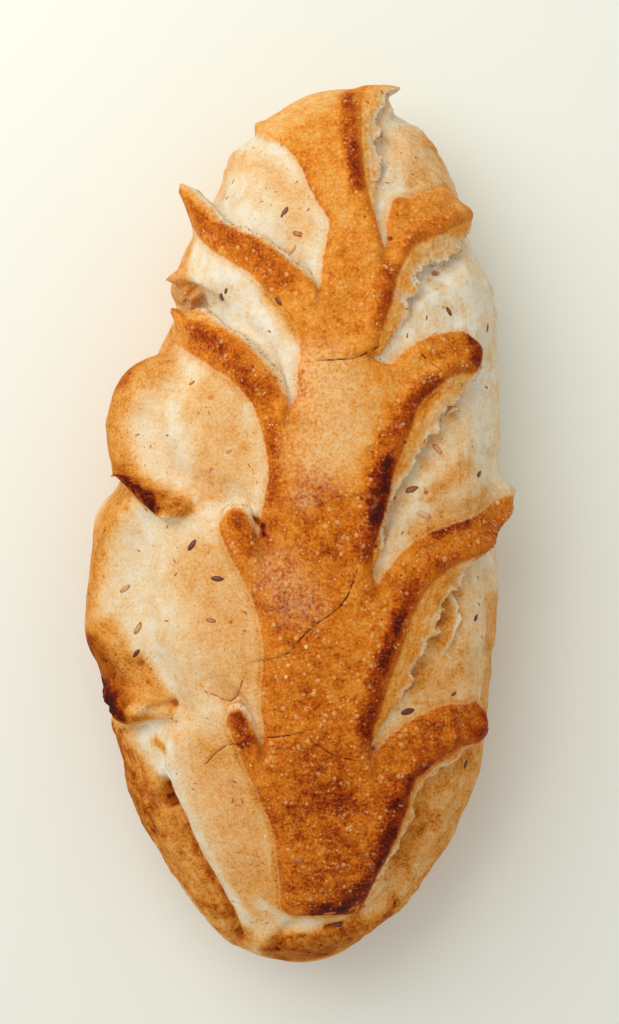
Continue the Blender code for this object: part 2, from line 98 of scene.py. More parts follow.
# The barbs of the leaf, from the tip to the stem: (x, y, half width) in millimetres.
BARBS = (
    ((-33, 96, 1.6), (-28.3, 90, 3.2), (-20.2, 83.9, 4.2), (-12.5, 79.3, 4.6), (-7, 74, 5), (0, 67, 5.6),
     (6, 58, 6)),
    ((-40.5, 63.5, 1.8), (-37.4, 59.7, 3.6), (-31, 56, 4.8), (-24, 51.6, 5.6), (-16.7, 45.7, 5),
     (-9.5, 36.3, 4.7), (-6.6, 28, 5), (-4, 19.8, 5)),
    ((-19.6, -1.6, 4.6), (-16.4, -8, 5), (-12, -17.3, 4.6), (-8, -26.8, 4)),
    ((-19.2, -60, 3), (-15.6, -67.6, 3.4), (-11, -78, 3.6), (-7.5, -86, 3.6)),
    ((45.5, 97.6, 6.2), (38.5, 94.2, 7.2), (33, 90.5, 6.2), (30, 84, 3.6), (27, 78, 3.5), (24.5, 72, 3.6),
     (21, 62, 4)),
    ((45.4, 101.6, 3), (46.4, 95.8, 3.2)),
    ((31.4, 96.6, 3.6), (30, 90, 3.2)),
    ((47.3, 52.2, 6.4), (43, 50.8, 6.8), (37, 47, 7), (29.2, 38.5, 6.8), (25, 30.5, 7.3), (22.3, 22, 7.2)),
    ((50, 55.6, 3), (50, 48.8, 3)),
    ((53, -57.4, 2), (54.8, -64.4, 2)),
    ((62.5, 4.8, 1.8), (59.5, 1.6, 3.2), (55.5, -2.4, 4.7), (46, -6.7, 5.8), (38, -11, 6.2),
     (30, -20, 6.3), (25, -30, 6.5)),
    ((50.6, -62.2, 5.6), (46.6, -62.3, 6.4), (38.1, -65.9, 7), (29.4, -73, 7), (24, -84.8, 7)),
)
BARB_BLEND = 1.5 * MM
LINE_REACH = 16 * MM  # a barb, fold or lip has no effect further off than this
LINE_POINTS = 24

# Folds in the pale skin: half width, height (below zero is a groove) and the line (x, y), in millimetres.
FOLDS = (
    (5.5, 3.2, ((-43, 50), (-53, 43), (-57, 29), (-53.5, 17), (-46, 9.5), (-38.5, 4.5))),
    (6.5, -3.8, ((-39, 47), (-46, 37), (-47.5, 26), (-43.5, 16), (-36, 9), (-30, 4))),
    (5.5, 2.8, ((-52, 6), (-59, -3), (-63, -22), (-62.5, -38), (-59, -50), (-52.5, -59))),
    (6.5, -4.6, ((-49, 0), (-51, -18), (-49, -36), (-43, -50), (-39, -58))),
    (4.4, 2.2, ((-58, -66), (-55, -79), (-47.5, -93), (-37.5, -108), (-27, -122), (-19.5, -132))),
    (3.6, -2.4, ((-46, -64), (-45, -76), (-40, -88), (-33.5, -104), (-25.5, -118), (-19, -131))),
    (1.4, -2.6, ((-44.5, -81), (-41.5, -88), (-38.4, -93.4), (-35.2, -102), (-32.5, -107), (-29.2, -112),
                 (-26.6, -117.5), (-22.8, -122.5), (-21, -128), (-18.9, -133.5))),
    (3, -3, ((-53.5, -64.5), (-49, -65), (-42, -63.5))),
    (4.2, 2.4, ((-10, -131.5), (2, -131), (16, -127.5), (30, -120.5), (42, -112), (50, -101))),
    (1.3, -1.8, ((-8, -131), (-4.5, -127), (1, -124.8), (8.5, -126), (15.5, -124.5), (22.5, -120.5),
                 (28, -116))),
    (2, -1.2, ((55, 46), (60, 25), (60.5, -5), (59.5, -40), (56, -70), (48, -95))),
    (5, 1.6, ((50, 78), (56, 66), (58, 58))),
    (6, 1.8, ((44, 30), (50, 20), (52, 10))),
    (6, 1.8, ((42, -34), (49, -42), (52, -52))),
)

# Lips where one fold of skin lies over the next, high on the left of their line:
# reach of the high side, height, half width of the edge, and (x, y, share of the height).
LIPS = (
    (8, 3.8, 0.7, ((-59, 19.5, 0), (-56, 15, 0.5), (-53.8, 12, 0.9), (-50.3, 8, 1), (-46.8, 4.6, 1),
                   (-43, 1.6, 1), (-39.6, 0.2, 1), (-36.8, 0.8, 0.8), (-34.4, 3.4, 0.6), (-34.2, 8, 0))),
    (7, 3.2, 0.7, ((-64.5, -44, 0), (-62.3, -50, 0.5), (-60, -54.5, 0.9), (-56.8, -59.5, 1), (-53.8, -63, 1),
                   (-51.3, -64.2, 0.9), (-49.3, -61, 0.7), (-47, -57, 0.5), (-43, -55.5, 0.3),
                   (-38, -57.3, 0))),
    (4, 1.7, 0.5, ((43.5, -42, 0), (44.6, -39.7, 0.6), (46.6, -35.9, 1), (50, -29.8, 1), (49.3, -24.7, 1),
                   (48.5, -21.9, 1), (45, -17, 0.8), (41.5, -13.4, 0))),
)

LIP_FALL = 0.5  # how far the low side falls, as a share of the height
LIP_FALL_REACH = 0.5  # and how far from the edge, as a share of the high side's reach

# Hairline cracks in the crust, as (x, y) in millimetres.
CRACKS = (
    ((6, 48.4), (12, 48.6), (16, 49), (20, 50.7), (23, 52.6)),
    ((-13.3, -41.9), (-8, -40.8), (-2.8, -38.8), (1, -34), (5.6, -29.8), (9, -27.5), (13.1, -23.8),
     (16.7, -14.3)),
    ((-11.2, -65), (-2.8, -63.7), (3.8, -61.9)),
    ((5, -66.5), (9.2, -69.3), (15.9, -71.3)),
    ((-28.8, -73.8), (-25.2, -70), (-22.2, -67.8), (-19.6, -67.1)),
    ((-27.1, -52.1), (-24.8, -53.1), (-21.5, -54.5), (-18.3, -50.9), (-17.2, -48)),
    ((36.4, 50.6), (38.4, 48.8), (40, 47.2)),
)
CRACK_POINTS = 12
CRACK_REACH = 9 * MM
CRACK_WIDTH = 0.35 * MM
CRACK_DEPTH = 0.5 * MM
CRACK_CURL = 0.22 * MM  # how far the skin on a crack's left curls up, and how far off and over what width
CRACK_CURL_OFF = 1.2 * MM
CRACK_CURL_WIDTH = 1 * MM

# Small holes in the skin: (x, y, radius, depth) in millimetres.
PITS = (
    (-12.6, 0.6, 1.1, 1.8), (-10.9, -1.2, 1.2, 2), (-10.6, -3.6, 0.8, 1.4), (19.7, 6.7, 1.2, 1.2),
    (17.6, 7.6, 0.7, 0.9), (-43.6, -81.6, 1.2, 1.6), (-44, -84.6, 1.9, 2.8), (-42, -88, 1.8, 3),
    (22.2, -6.9, 0.8, 1.4), (22, -14.8, 0.7, 1.4), (22.6, -69, 1, 1.6), (27.8, 86.5, 0.9, 0.9),
    (44, 78, 1.4, 1.4), (39, 9, 0.8, 0.8), (-41.5, -56, 1.6, 1.8), (31, 24, 0.7, 0.7), (-51, -45, 1, 1),
    (24.2, -29, 0.5, 0.8), (7.7, -45.8, 0.4, 0.7), (-11, -15.3, 0.45, 0.8), (25.4, -6.3, 0.5, 0.8),
    (30.2, -16, 0.4, 0.7), (4.5, -33.2, 0.4, 0.6), (2.9, -38.8, 0.4, 0.6), (19.4, 92, 0.45, 0.7),
    (-58, 38, 0.5, 0.7), (-48.5, 12, 0.5, 0.7),
)

# The crust stands over its cuts as an ear, to the lower right on the right side and to the upper right on
# the left.
RIGHT_EAR_WAY = (0.8, -0.6)
LEFT_EAR_WAY = (0.5, 0.866)
EAR_PROBE = 2.5 * MM
EAR_SLOPES = (0.1, 0.75)  # how steeply the leaf ends along that way where an ear starts and where it is full
EAR_END_Y = -119 * MM  # towards the foot the ears die out
EAR_FULL_Y = -100 * MM
EAR_WIDTH = 6 * MM
CRUST_RISE = 2.2 * MM
CRUST_SHOULDER = 2.2 * MM
TORN_LEFT = 6.2 * MM
TORN_LEFT_SHARE = 0.3  # the torn edge's width near the stem's left side over that at the ear's tip
TORN_LEFT_START = -22 * MM
TORN_LEFT_END = -36 * MM
# The width of the torn edge on the right, as millimetres along the loaf and then across the edge.
TORN_RIGHT = (
    (-141, 3), (-62, 4.6), (-50, 6.2), (-18, 6), (-9, 3.6), (-3, 1.8), (9, 2), (16, 4.6), (24, 6.2),
    (33, 7.6), (43, 7.6), (52, 6.2), (90, 6.2), (104, 5), (141, 6),
)
TORN_END_START_X = 47 * MM  # towards the ears' ends on the right the torn edge narrows to this share
TORN_END_X = 53 * MM
TORN_END_SHARE = 0.25
CUT_WIDTH = 9.5 * MM
CUT_WANDER = (15 * MM, 0.35, 61.7)
HINGE_DROP = 0.9 * MM
HINGE_REACH = 4 * MM
LIP_SLIDE_WIDTH = 3.2 * MM
SIDE_BLEND = 5 * MM
ALL_RIGHT_Y = 115 * MM  # beyond this the whole width is cut as on the right
LIP_SOFTNESS = 0.5 * MM
TORN_FACE_START = 0.4 * MM  # the torn face's grain starts this deep in the crust
TORN_FACE_FULL = -0.6 * MM  # is full this far out of it
TORN_FACE_FADE = 1 * MM  # and fades over this width at the lip

# The cuts were made in the top, so their relief dies out down the sides.
CUTS_START_HEIGHT = 20 * MM
CUTS_FULL_HEIGHT = 38 * MM

# The ends of the ears that stand out: anchor, way it points, length and radius, in millimetres.
EAR_TIPS = (
    ((-31.3, 98, 42), (-0.6, 0.78, 0.22), 12, 10),
    ((-39.5, 65.5, 40), (-0.5, 0.85, 0.15), 8, 6.5),
    ((-38.5, 77, 38), (-1, -0.1, 0.1), 4.5, 6),
    ((50, 92, 38), (1, -0.2, 0.1), 1.6, 5),
    ((61.5, 7.5, 38), (0.93, 0.36, 0.1), 7.5, 9),
    ((54, -64.5, 40), (1, -0.6, 0.2), 2.2, 5),
    ((22.4, 130.4, 36), (0.42, 0.88, 0.25), 11, 9),
    ((26.6, 137.5, 38), (1, -0.1, 0.2), 6, 4),
    ((26.8, 130.2, 38), (1, 0.1, 0), 4.5, 2.8),
    ((29, 133.8, 38), (-1, -0.2, 0), 3.4, 3),
)
TIP_FALLOFF = 1.3
TIP_TALLNESS = 0.8  # below 1 the pull reaches further up and down than sideways

# The baked skin is never even: noise sizes, heights and the offsets that keep them apart.
SWELL = (26 * MM, 1.1 * MM, 0)
LUMP = (8 * MM, 0.45 * MM, 9.1)
RAG = (5 * MM, 0.45, 3.7)
FRAY = (2.1 * MM, 0.22, 17.3)
ROUGH = (1.7 * MM, 0.85 * MM, 51.3)
ROUGH_ANGLE = math.radians(31)  # the way the craggy skin's grain runs, from the loaf's length to its left
ROUGH_STRETCH = 3.5
CRUST_PUCKER = (2.4 * MM, 0.16 * MM, 21.9)
CRUMB_PUCKER = (4.2 * MM, 0.42 * MM, 29.3)
CRUMB_PORES = (1.5 * MM, 0.2 * MM, 33.7)
TORN_GRAIN = (1.3 * MM, 0.5 * MM, 41.1)
TORN_LAYERS = (5 * MM, 0.32 * MM, 5.5)
LAYER_THICKNESS = 1.1 * MM  # of the layers in a torn edge
PORES_ON_SKIN = 0.3  # the share of the cuts' pores that the rest of the pale skin has

# Where the skin is craggy: value, half width, softness and the line (x, y), in millimetres.
ROUGH_STROKES = (
    (1, 6.5, 3, ((-60, -68), (-54, -79), (-48, -91), (-39, -105), (-29.5, -119), (-22, -130))),
    (1, 3, 2, ((-55, 15), (-49, 9), (-42, 4), (-37, 4))),
    (1, 3, 2.5, ((-62, -50), (-57, -58), (-51, -63), (-45, -68), (-42, -78))),
    (0.7, 4, 3, ((-4, -131), (12, -131), (30, -121), (42, -108))),
    (0.6, 5, 4, ((44, 70), (50, 60))),
    (0.6, 5, 4, ((42, -20), (46, -28), (45, -38))),
)

# How brown the crust is, from 0 (dusted gold) to 1 (charred), painted in soft strokes:
# value, half width, softness and the line (x, y), in millimetres.
BAKE_TOP_Y = 70 * MM  # between these the bake goes from its value at the top to that at the foot
BAKE_FOOT_Y = -110 * MM
CRUST_BAKE_TOP = 0.46
CRUST_BAKE_FOOT = 0.6
# Most strokes are bake; the narrow dark one in the slit left of the stem is painted shade.
CRUST_STROKES = (
    (0.25, 6.2, 5, ((-12, 122), (0, 130), (10, 134))),
    (0.42, 5, 4.3, ((6, 115), (11, 102), (14, 87))),
    (0.73, 2.2, 1.5, ((14.5, 132), (15, 118), (17, 102))),
    (0.6, 1.6, 2, ((-8, 116), (0, 108), (6, 97), (9.5, 90))),
    (0.5, 6.8, 4.3, ((14, 79), (15, 67), (14, 58))),
    (0.66, 2.6, 2.4, ((26.3, 77), (25, 67.5), (23.4, 61))),
    (0.72, 1.4, 1.4, ((1, 45), (1.2, 38))),
    (0.55, 2, 1.8, ((45, 95), (38, 91), (31, 85))),
    (0.32, 9.3, 6.2, ((11, 41), (14, 31), (11, 20))),
    (0.4, 4.3, 3.7, ((32, 48), (38, 45), (40, 40))),
    (0.71, 3.6, 2.6, ((39.5, 41.5), (34.4, 36), (29.6, 30.5), (26, 24.5), (23.4, 17), (21, 6.5), (19.4, -1),
                      (18.5, -8))),
    (0.9, 2.2, 2, ((25.2, 18), (22.6, 9), (20.6, 1))),
    (0.72, 1.6, 2.2, ((-8, 29), (-7.5, 16), (-8, 4), (-9, -7))),
    (0.62, 8, 5, ((6, 7), (9, -5))),
    (0.64, 8, 5.6, ((-3, -22), (1, -34))),
    (0.6, 4.5, 3, ((56, -1), (46, -6), (38, -11), (31, -18))),
    (0.8, 2.2, 2, ((52.5, 1), (46.6, -1.6), (41, -3.6))),
    (0.72, 1.6, 1.6, ((44.8, -9.5), (36.5, -14), (30.5, -22))),
    (0.78, 2.4, 2, ((31.5, -20), (29.4, -25.4), (26, -35.7), (22.6, -45), (20, -55), (18.8, -63))),
    (0.88, 1.4, 1.5, ((29.4, -27), (26.2, -36), (23.2, -44))),
    (0.66, 1.6, 1.9, ((58, -66), (51, -68), (43, -71), (36, -76))),
    (0.78, 2.8, 2, ((36, -73), (32, -74.6), (28.8, -82.3), (26, -90.3), (22.8, -98.3), (20, -107),
                    (17.4, -114.5))),
    (0.86, 2.4, 2, ((26, -93), (22.4, -101), (19.6, -109))),
    (0.6, 9, 6.2, ((4, -50), (6, -62))),
    (0.68, 10.5, 6.2, ((6, -76), (8, -107))),
    (0.68, 5, 3, ((54, -61), (46, -63), (38, -66), (30, -72))),
    (0.76, 5.6, 4.3, ((8, -81), (11, -84))),
    (0.93, 3.6, 2.4, ((18, -113), (13, -117.5), (6, -119.5))),
    # painted shade in the slit left of the stem
    (0.97, 0.5, 0.6, ((-14, 1.3), (-11, -1.2), (-10.7, -4.2))),
    (0.62, 3.7, 2.5, ((-26, 91), (-15, 82), (-4, 72))),
    (0.5, 1.9, 1.6, ((-38, 106), (-33, 98))),
    (0.69, 3.7, 2.5, ((-30, 56), (-19, 47), (-11, 37))),
    (0.56, 1.9, 1.6, ((-40, 70), (-36, 63))),
    (0.7, 2.5, 1.9, ((-18, 0), (-15, -7))),
    (0.8, 2.2, 1.9, ((-18, -60), (-16, -66))),
    (0.42, 5.6, 2.5, ((38, 99), (46, 101))),
    (0.6, 4.4, 2.4, ((42, 53), (49, 53))),
    (0.8, 1.5, 1.6, ((51.4, 57.4), (51.6, 48))),
    (0.62, 1.4, 1.4, ((44, 46), (51, 47.5))),
)

# How toasted the pale skin is, from 0 (white crumb) to 1 (charred), in the same kind of strokes.
CRUMB_BAKE_TOP = 0.04
CRUMB_BAKE_FOOT = 0.24
STROKES_FADE = 0.72  # the strokes are painted from above, so they fade by this share down the walls
WALL_BAKE_LEFT = 0.34
WALL_BAKE_RIGHT = 0.02
WALL_BROWN_REACH = 30 * MM  # the wall goes from the one to the other between this far right and left
WALL_BROWN_FOOT = 0.6  # the share of the left wall's brown that the right wall has near the foot
WALL_TOP = 34 * MM  # the wall starts below this height and is all wall below the next
WALL_FULL = 12 * MM
# Most strokes are toast; a few narrow dark ones are painted shade in a hole, a slit and grooves.
CRUMB_STROKES = (
    (0.0, 3, 3.4, ((-29, 99), (-15, 86), (0, 73))),
    (0.14, 3, 3, ((-16, 102), (-8, 96), (2, 84))),
    (0.26, 4.2, 3.4, ((-20, 113), (-10, 109), (-3, 101), (2, 90))),
    (0.26, 1.6, 1.9, ((-22, 119), (-27, 106))),
    (0.03, 3.1, 2.8, ((-33, 69), (-21, 58), (-9, 45), (-1, 36))),
    (0.46, 2.6, 2.6, ((-38.5, 80), (-38, 74), (-36, 70))),
    (0.34, 2.8, 2.8, ((-9, 68), (-1, 58))),
    (0.4, 1.6, 1.6, ((-35, 89), (-38, 81), (-41, 75))),
    (0.33, 10, 5.6, ((-27, 36), (-23, 24), (-24, 13))),
    (0.17, 3.8, 2.6, ((-41, 46), (-47.5, 34), (-46, 20), (-38, 9))),
    (0.48, 5, 3, ((-43, 51), (-55, 43), (-59, 30), (-56, 17))),
    (0.7, 1.6, 1.4, ((-50, 48.5), (-55, 42))),
    (0.58, 0.8, 1.2, ((-57, 40), (-61.5, 30), (-59.5, 19))),
    (0.64, 3.4, 1.8, ((-54, 16), (-48, 10.4), (-41.5, 6), (-37, 5))),
    (0.95, 2, 1.3, ((-51.8, 12), (-46.6, 7.2), (-42, 3.6))),
    (0.6, 2.4, 1.4, ((-39, 6.5), (-36, 4.6))),
    (0.36, 9.3, 6.2, ((-30, -14), (-22, -29), (-19, -44))),
    (0.14, 3.7, 3.1, ((-28, 1), (-19, 7))),
    (0.1, 4, 2.6, ((-51, 0), (-53, -18), (-49.5, -34), (-43, -52))),
    (0.5, 4.4, 2.8, ((-56, 8), (-63.5, -6), (-66, -22), (-66, -36))),
    (0.58, 0.8, 1.2, ((-66, -8), (-68.5, -25), (-67, -38))),
    (0.5, 3.4, 1.8, ((-60, -33), (-56.5, -41), (-51, -48), (-44, -57))),
    (0.8, 3.8, 2, ((-64, -38), (-60, -46), (-55, -54.5), (-51, -60))),
    (0.95, 1.7, 1.3, ((-60, -50), (-57.2, -55), (-54, -60.5))),
    (0.3, 1.6, 1.4, ((-49.5, -58), (-45, -58.5))),
    (0.42, 8.1, 5.6, ((-25, -72), (-20, -91), (-14, -114))),
    (0.02, 4, 2.6, ((-49, -66), (-43.5, -72), (-41, -80))),
    (0.66, 1, 1.2, ((-47, -69), (-43.5, -71))),
    (0.67, 7, 2.4, ((-61, -70), (-54.5, -80), (-49, -91), (-42, -102))),
    (0.56, 6.6, 2.8, ((-41, -104), (-30.5, -119), (-22, -131))),
    (0.34, 1.3, 1.4, ((-62.4, -60), (-59.4, -72), (-56, -84))),
    (0.5, 1.3, 1.4, ((-44, -92), (-38.5, -102), (-33, -112))),
    (0.32, 2, 1.4, ((-40, -114), (-33.5, -123.5), (-24, -134))),
    (0.08, 2.4, 1.6, ((-39, -82), (-34.6, -93), (-30.6, -103), (-24.6, -114), (-17.5, -125))),
    # painted shade in the deep hole and the crevice along the lower left groove
    (0.95, 1, 0.8, ((-44.2, -82.5), (-43.6, -85.5), (-41.6, -89))),
    (0.74, 0.4, 0.8, ((-41.4, -88), (-38.4, -93.4), (-35.2, -102), (-32.5, -107), (-29.2, -112))),
    (0.84, 0.5, 0.8, ((-27, -116.5), (-22.8, -122.5), (-21, -128), (-18.9, -133.5))),
    (0.84, 0.5, 0.8, ((-30, -119.5), (-26.5, -121), (-23.5, -125))),
    # painted shade in the slit left of the stem
    (0.97, 0.5, 0.6, ((-14, 1.3), (-11, -1.2), (-10.7, -4.2))),
    (0.12, 1.9, 1.9, ((-12, -119), (-3, -124), (10, -126.5), (20, -125))),
    (0.7, 6.6, 1.8, ((-6, -135.6), (6, -134.2), (20, -129.8))),
    (0.6, 4.6, 2.2, ((23, -128.4), (33, -121.6), (43.5, -109.5))),
    # painted shade in the groove near the foot
    (0.85, 0.5, 0.8, ((-7.5, -133), (-4, -129), (2, -128))),
    (0.9, 0.4, 0.6, ((8, -126.5), (14, -125))),
    (0.28, 9.3, 6.2, ((38, 117), (41, 107))),
    (0.0, 9.3, 6.2, ((43, 71), (51, 62))),
    (0.19, 8.1, 5.6, ((44, 31), (46, 13))),
    (0.42, 2.2, 2.5, ((40, 8), (50, 17))),
    (0.4, 3, 3, ((36, -3), (47, 3), (60, 9))),
    (0.34, 9.3, 6.2, ((43, -24), (43, -48))),
    (0.52, 2.6, 1.8, ((41, -20), (45.6, -28), (43.5, -36))),
    (0.04, 0.9, 0.8, ((44.6, -39.7), (46.4, -35.9), (49.6, -29.8), (49, -24.7), (47.6, -21.4))),
    (0.36, 9.3, 6.2, ((46, -78), (40, -98), (32, -110))),
    (0.6, 4.4, 3.4, ((37.5, -85), (36, -95), (33, -102))),
    (0.06, 2.5, 2.5, ((62, 64), (62, 32), (62, -12))),
    (0.4, 2.8, 2.5, ((62, -25), (60, -64), (52, -93))),
)

# Where the torn edge shows pale crumb over most of its width, in the same kind of strokes.
PALE_TEAR_STROKES = (
    (1, 3.5, 2.5, ((24, 124), (24, 110), (25, 99))),
    (0.8, 4, 3, ((38, 84), (45, 86))),
    (0.6, 3, 2.5, ((24, 64), (28, 70))),
    (0.7, 3, 2.5, ((40, 30), (44, 36))),
    (0.5, 4, 3, ((42, -14), (50, -10))),
)

# Where flour dulls the skin, in the same kind of strokes.
FLOUR_STROKES = (
    (0.66, 9, 5.4, ((6, 44), (11, 31), (6, 20))),
    (0.42, 6.4, 5, ((-6, -15), (0, -24))),
    (0.6, 2.5, 1.9, ((0, 7), (2, 6))),
    (0.2, 8.1, 5.6, ((-30, 37), (-27, 19))),
    (0.2, 9.3, 6.2, ((-30, -14), (-22, -38))),
    (0.35, 8.1, 5.6, ((-26, -79), (-17, -104))),
)

# Seeds that stand out of the skin: (x, y) in millimetres, the turn in degrees, how toasted each is and
# its size as a share of its kind's.
FLAX = (
    (-4.7, 94.8, 58, 0.4, 0.9), (-24.3, 69.5, 60, 0.3, 1), (-22.6, 71.2, 60, 0.5, 0.7),
    (-6.4, 66.8, -42, 0.6, 0.9), (46, 64.6, -55, 0.5, 0.8), (59, 61, 75, 0.2, 0.8),
    (-32.4, -6.9, 55, 0.8, 1), (-24.7, -17, -4, 0.8, 0.9), (33, -57.6, 15, 0.9, 1.1),
    (47.6, -52.8, 35, 0.6, 0.7), (52.3, -76.4, 60, 0.9, 0.8), (54.8, -29.8, 50, 0.9, 0.8),
    (55.4, 14.6, 40, 0.8, 0.8), (12, -125.6, 12, 0.9, 0.8), (-50.4, -40.5, 50, 0.9, 0.8),
    (34, 9.9, 20, 0, 1),
)
KERNELS = (
    (-2.9, 83.6, 46, 0, 1.5), (-0.3, 87.9, -20, 0.8, 0.9), (22.9, 105, 5, 0.2, 0.9),
    (-7.4, 101.8, -10, 0.6, 0.5), (-2.8, 102.1, 70, 0.7, 0.4), (33.4, 88.4, -10, 1.2, 0.6),
    (42.2, 22.2, -50, 0.4, 1), (37.4, 2.4, -20, 0.2, 1.1), (-54.2, -20.8, 35, 0.5, 0.95),
    (-50, -33, 60, 0.6, 1), (-26.6, -29.6, -10, 0.8, 0.8), (-21.3, 21.3, 25, 0.6, 0.6),
    (-32.9, 42.4, 20, 0.8, 0.7), (9.3, -121, 2, 1, 1), (-0.3, -103, 15, 0.9, 0.85),
)
MILLET = (
    (2.1, -37.2, 0, 0, 1), (-3.3, -42.8, 0, 0, 0.8), (4.5, -51, 0, 0.3, 0.9), (-3.9, -46.2, 0, 0, 0.8),
    (-10.3, -96, 0, 0, 1), (62, 6, 0, 0, 1.2), (45.5, -21, 0, 0, 1), (12.5, 72, 0, 0.4, 0.9),
    (44, 66, 0, 0.5, 0.8),
)


def clamp01(value):
    return np.clip(value, 0, 1)


def smooth_step(low, high, value):
    t = clamp01((value - low) / (high - low))
    return t * t * (3 - 2 * t)


def between(first, second, share):
    return first + (second - first) * share


def bell(distance, width):
    return np.exp(-((distance / width) ** 2))


def through_points(knots, values, at):
    """A smooth line through the values at the rising knots."""
    knots = np.asarray(knots, float)
    values = np.asarray(values, float)
    slopes = np.gradient(values, knots)
    i = np.clip(np.searchsorted(knots, at) - 1, 0, len(knots) - 2)
    step = knots[i + 1] - knots[i]
    t = clamp01((at - knots[i]) / step)
    rise = values[i] * (2 * t**3 - 3 * t**2 + 1) + values[i + 1] * (3 * t**2 - 2 * t**3)
    bend = slopes[i] * (t**3 - 2 * t**2 + t) + slopes[i + 1] * (t**3 - t**2)
    return rise + bend * step


def along_table(table, y):
    """A width from a table in millimetres, at each place along the loaf."""
    return through_points(*np.transpose(table), y / MM) * MM


def fine_line(points, count=LINE_POINTS):
    """Many points along a smooth line through a few, as an array with a row each."""
    points = np.array(points, float) * MM
    ends = np.linalg.norm(np.diff(points[:, :2], axis=0), axis=1)
    knots = np.concatenate([[0], np.cumsum(ends)])
    at = np.linspace(0, knots[-1], count)
    return np.stack([through_points(knots, column, at) for column in points.T], axis=1)


def near_line(x, y, line, reach):
    """Which places lie in the line's box, widened by the reach."""
    low, high = line[:, :2].min(0) - reach, line[:, :2].max(0) + reach
    return (x > low[0]) & (x < high[0]) & (y > low[1]) & (y < high[1])


def inside_stroke(x, y, line, reach=LINE_REACH):
    """How deep a place lies inside a stroke of changing width, below zero outside it."""
    best = np.full(np.shape(x), -1.0)
    close = near_line(x, y, line, reach)
    here_x, here_y, deepest = x[close], y[close], best[close]
    for (x0, y0, r0), (x1, y1, r1) in zip(line[:-1], line[1:]):
        dx, dy = x1 - x0, y1 - y0
        t = clamp01(((here_x - x0) * dx + (here_y - y0) * dy) / (dx * dx + dy * dy))
        depth = r0 + (r1 - r0) * t - np.hypot(here_x - x0 - dx * t, here_y - y0 - dy * t)
        deepest = np.maximum(deepest, depth)
    best[close] = deepest
    return best


def beside_line(x, y, line, reach=LINE_REACH):
    """Distance from an open line, above zero on its left, and the line's third value at its nearest point."""
    nearest = np.full(np.shape(x), reach)
    side = np.ones(np.shape(x))
    share = np.zeros(np.shape(x))
    for (x0, y0, s0), (x1, y1, s1) in zip(line[:-1], line[1:]):
        dx, dy = x1 - x0, y1 - y0
        t = clamp01(((x - x0) * dx + (y - y0) * dy) / (dx * dx + dy * dy))
        away_x, away_y = x - x0 - dx * t, y - y0 - dy * t
        distance = np.hypot(away_x, away_y)
        nearer = distance < nearest
        nearest = np.where(nearer, distance, nearest)
        side = np.where(nearer, np.sign(dx * away_y - dy * away_x), side)
        share = np.where(nearer, s0 + (s1 - s0) * t, share)
    return nearest * side, share


def soft_max(a, b, blend):
    h = clamp01(0.5 + 0.5 * (a - b) / blend)
    return b * (1 - h) + a * h + blend * h * (1 - h)


def stem_edges(y):
    stations = np.array(STEM, float) * MM
    left = through_points(stations[:, 0], stations[:, 1], y)
    right = through_points(stations[:, 0], stations[:, 2], y)
    return left, right


BARB_LINES = [fine_line(barb) for barb in BARBS]
FOLD_LINES = [(width * MM, height * MM, fine_line([(*p, 0) for p in line])) for width, height, line in FOLDS]
CRACK_LINES = [fine_line([(*p, 0) for p in line], CRACK_POINTS) for line in CRACKS]
LIP_LINES = [
    (reach * MM, height * MM, edge * MM, np.array(line, float) * (MM, MM, 1))
    for reach, height, edge, line in LIPS
]


def inside_crust(x, y):
    """How deep a place lies inside the leaf of crust, below zero in the pale cuts."""
    left, right = stem_edges(y)
    depth = np.minimum(np.minimum(x - left, right - x), y - STEM_END_Y)
    for line in BARB_LINES:
        depth = soft_max(depth, inside_stroke(x, y, line), BARB_BLEND)
    return depth


def ear_share(x, y):
    """How much of an ear the nearest crust edge has: 1 over a cut, 0 where the cut hinges."""
    left, right = stem_edges(y)
    shares = []
    for way_x, way_y in (LEFT_EAR_WAY, RIGHT_EAR_WAY):
        back = inside_crust(x - way_x * EAR_PROBE, y - way_y * EAR_PROBE)
        front = inside_crust(x + way_x * EAR_PROBE, y + way_y * EAR_PROBE)
        shares.append(smooth_step(*EAR_SLOPES, (back - front) / (2 * EAR_PROBE)))
    side = smooth_step(-SIDE_BLEND, SIDE_BLEND, x - (left + right) / 2)
    side = np.where(y > ALL_RIGHT_Y, 1, side)
    share = shares[0] * (1 - side) + shares[1] * side
    return share * smooth_step(EAR_END_Y, EAR_FULL_Y, y), side


def noise_at(places, size, offset):
    """Smooth noise from -1 to 1 at each place."""
    shifted = places / size + (offset, 0, 0)
    return np.array([noise.noise(place) for place in shifted.tolist()])


def uneven(places, kind):
    """Noise of one kind, which is its size, its height and an offset."""
    size, height, offset = kind
    return height * noise_at(places, size, offset)


def dome(across, along):
    """The plain body's skin, from disc coordinates whose rim is the edge of the foot."""
    radius = np.maximum(np.hypot(across, along), 1e-6)
    angle = radius * RIM_ANGLE
    upper = np.minimum(angle, math.pi / 2)
    tuck = clamp01((angle - math.pi / 2) / (RIM_ANGLE - math.pi / 2)) * math.pi / 2
    reach = np.sin(upper) ** (2 / FULLNESS) * (FOOT_SHARE + (1 - FOOT_SHARE) * np.cos(tuck))
    height = WAIST_HEIGHT * (1 - np.sin(tuck))
    height = height + (DOME_HEIGHT - WAIST_HEIGHT) * np.maximum(np.cos(upper), 0) ** (2 / FULLNESS)
    share_x, share_y = across / radius * reach, along / radius * reach
    y = MIDDLE_Y + HALF_LENGTH * share_y
    left, right = along_table(LEFT_REACH, y), along_table(RIGHT_REACH, y)
    side = smooth_step(-SIDE_STRIP, SIDE_STRIP, share_x)
    width = between(FOOT_REACH, left * (1 - side) + right * side, smooth_step(0, WAIST_HEIGHT, height))
    x = BEND * smooth_step(BEND_START_Y, BEND_END_Y, y) + width * share_x
    return np.stack([x, y, height], axis=-1)


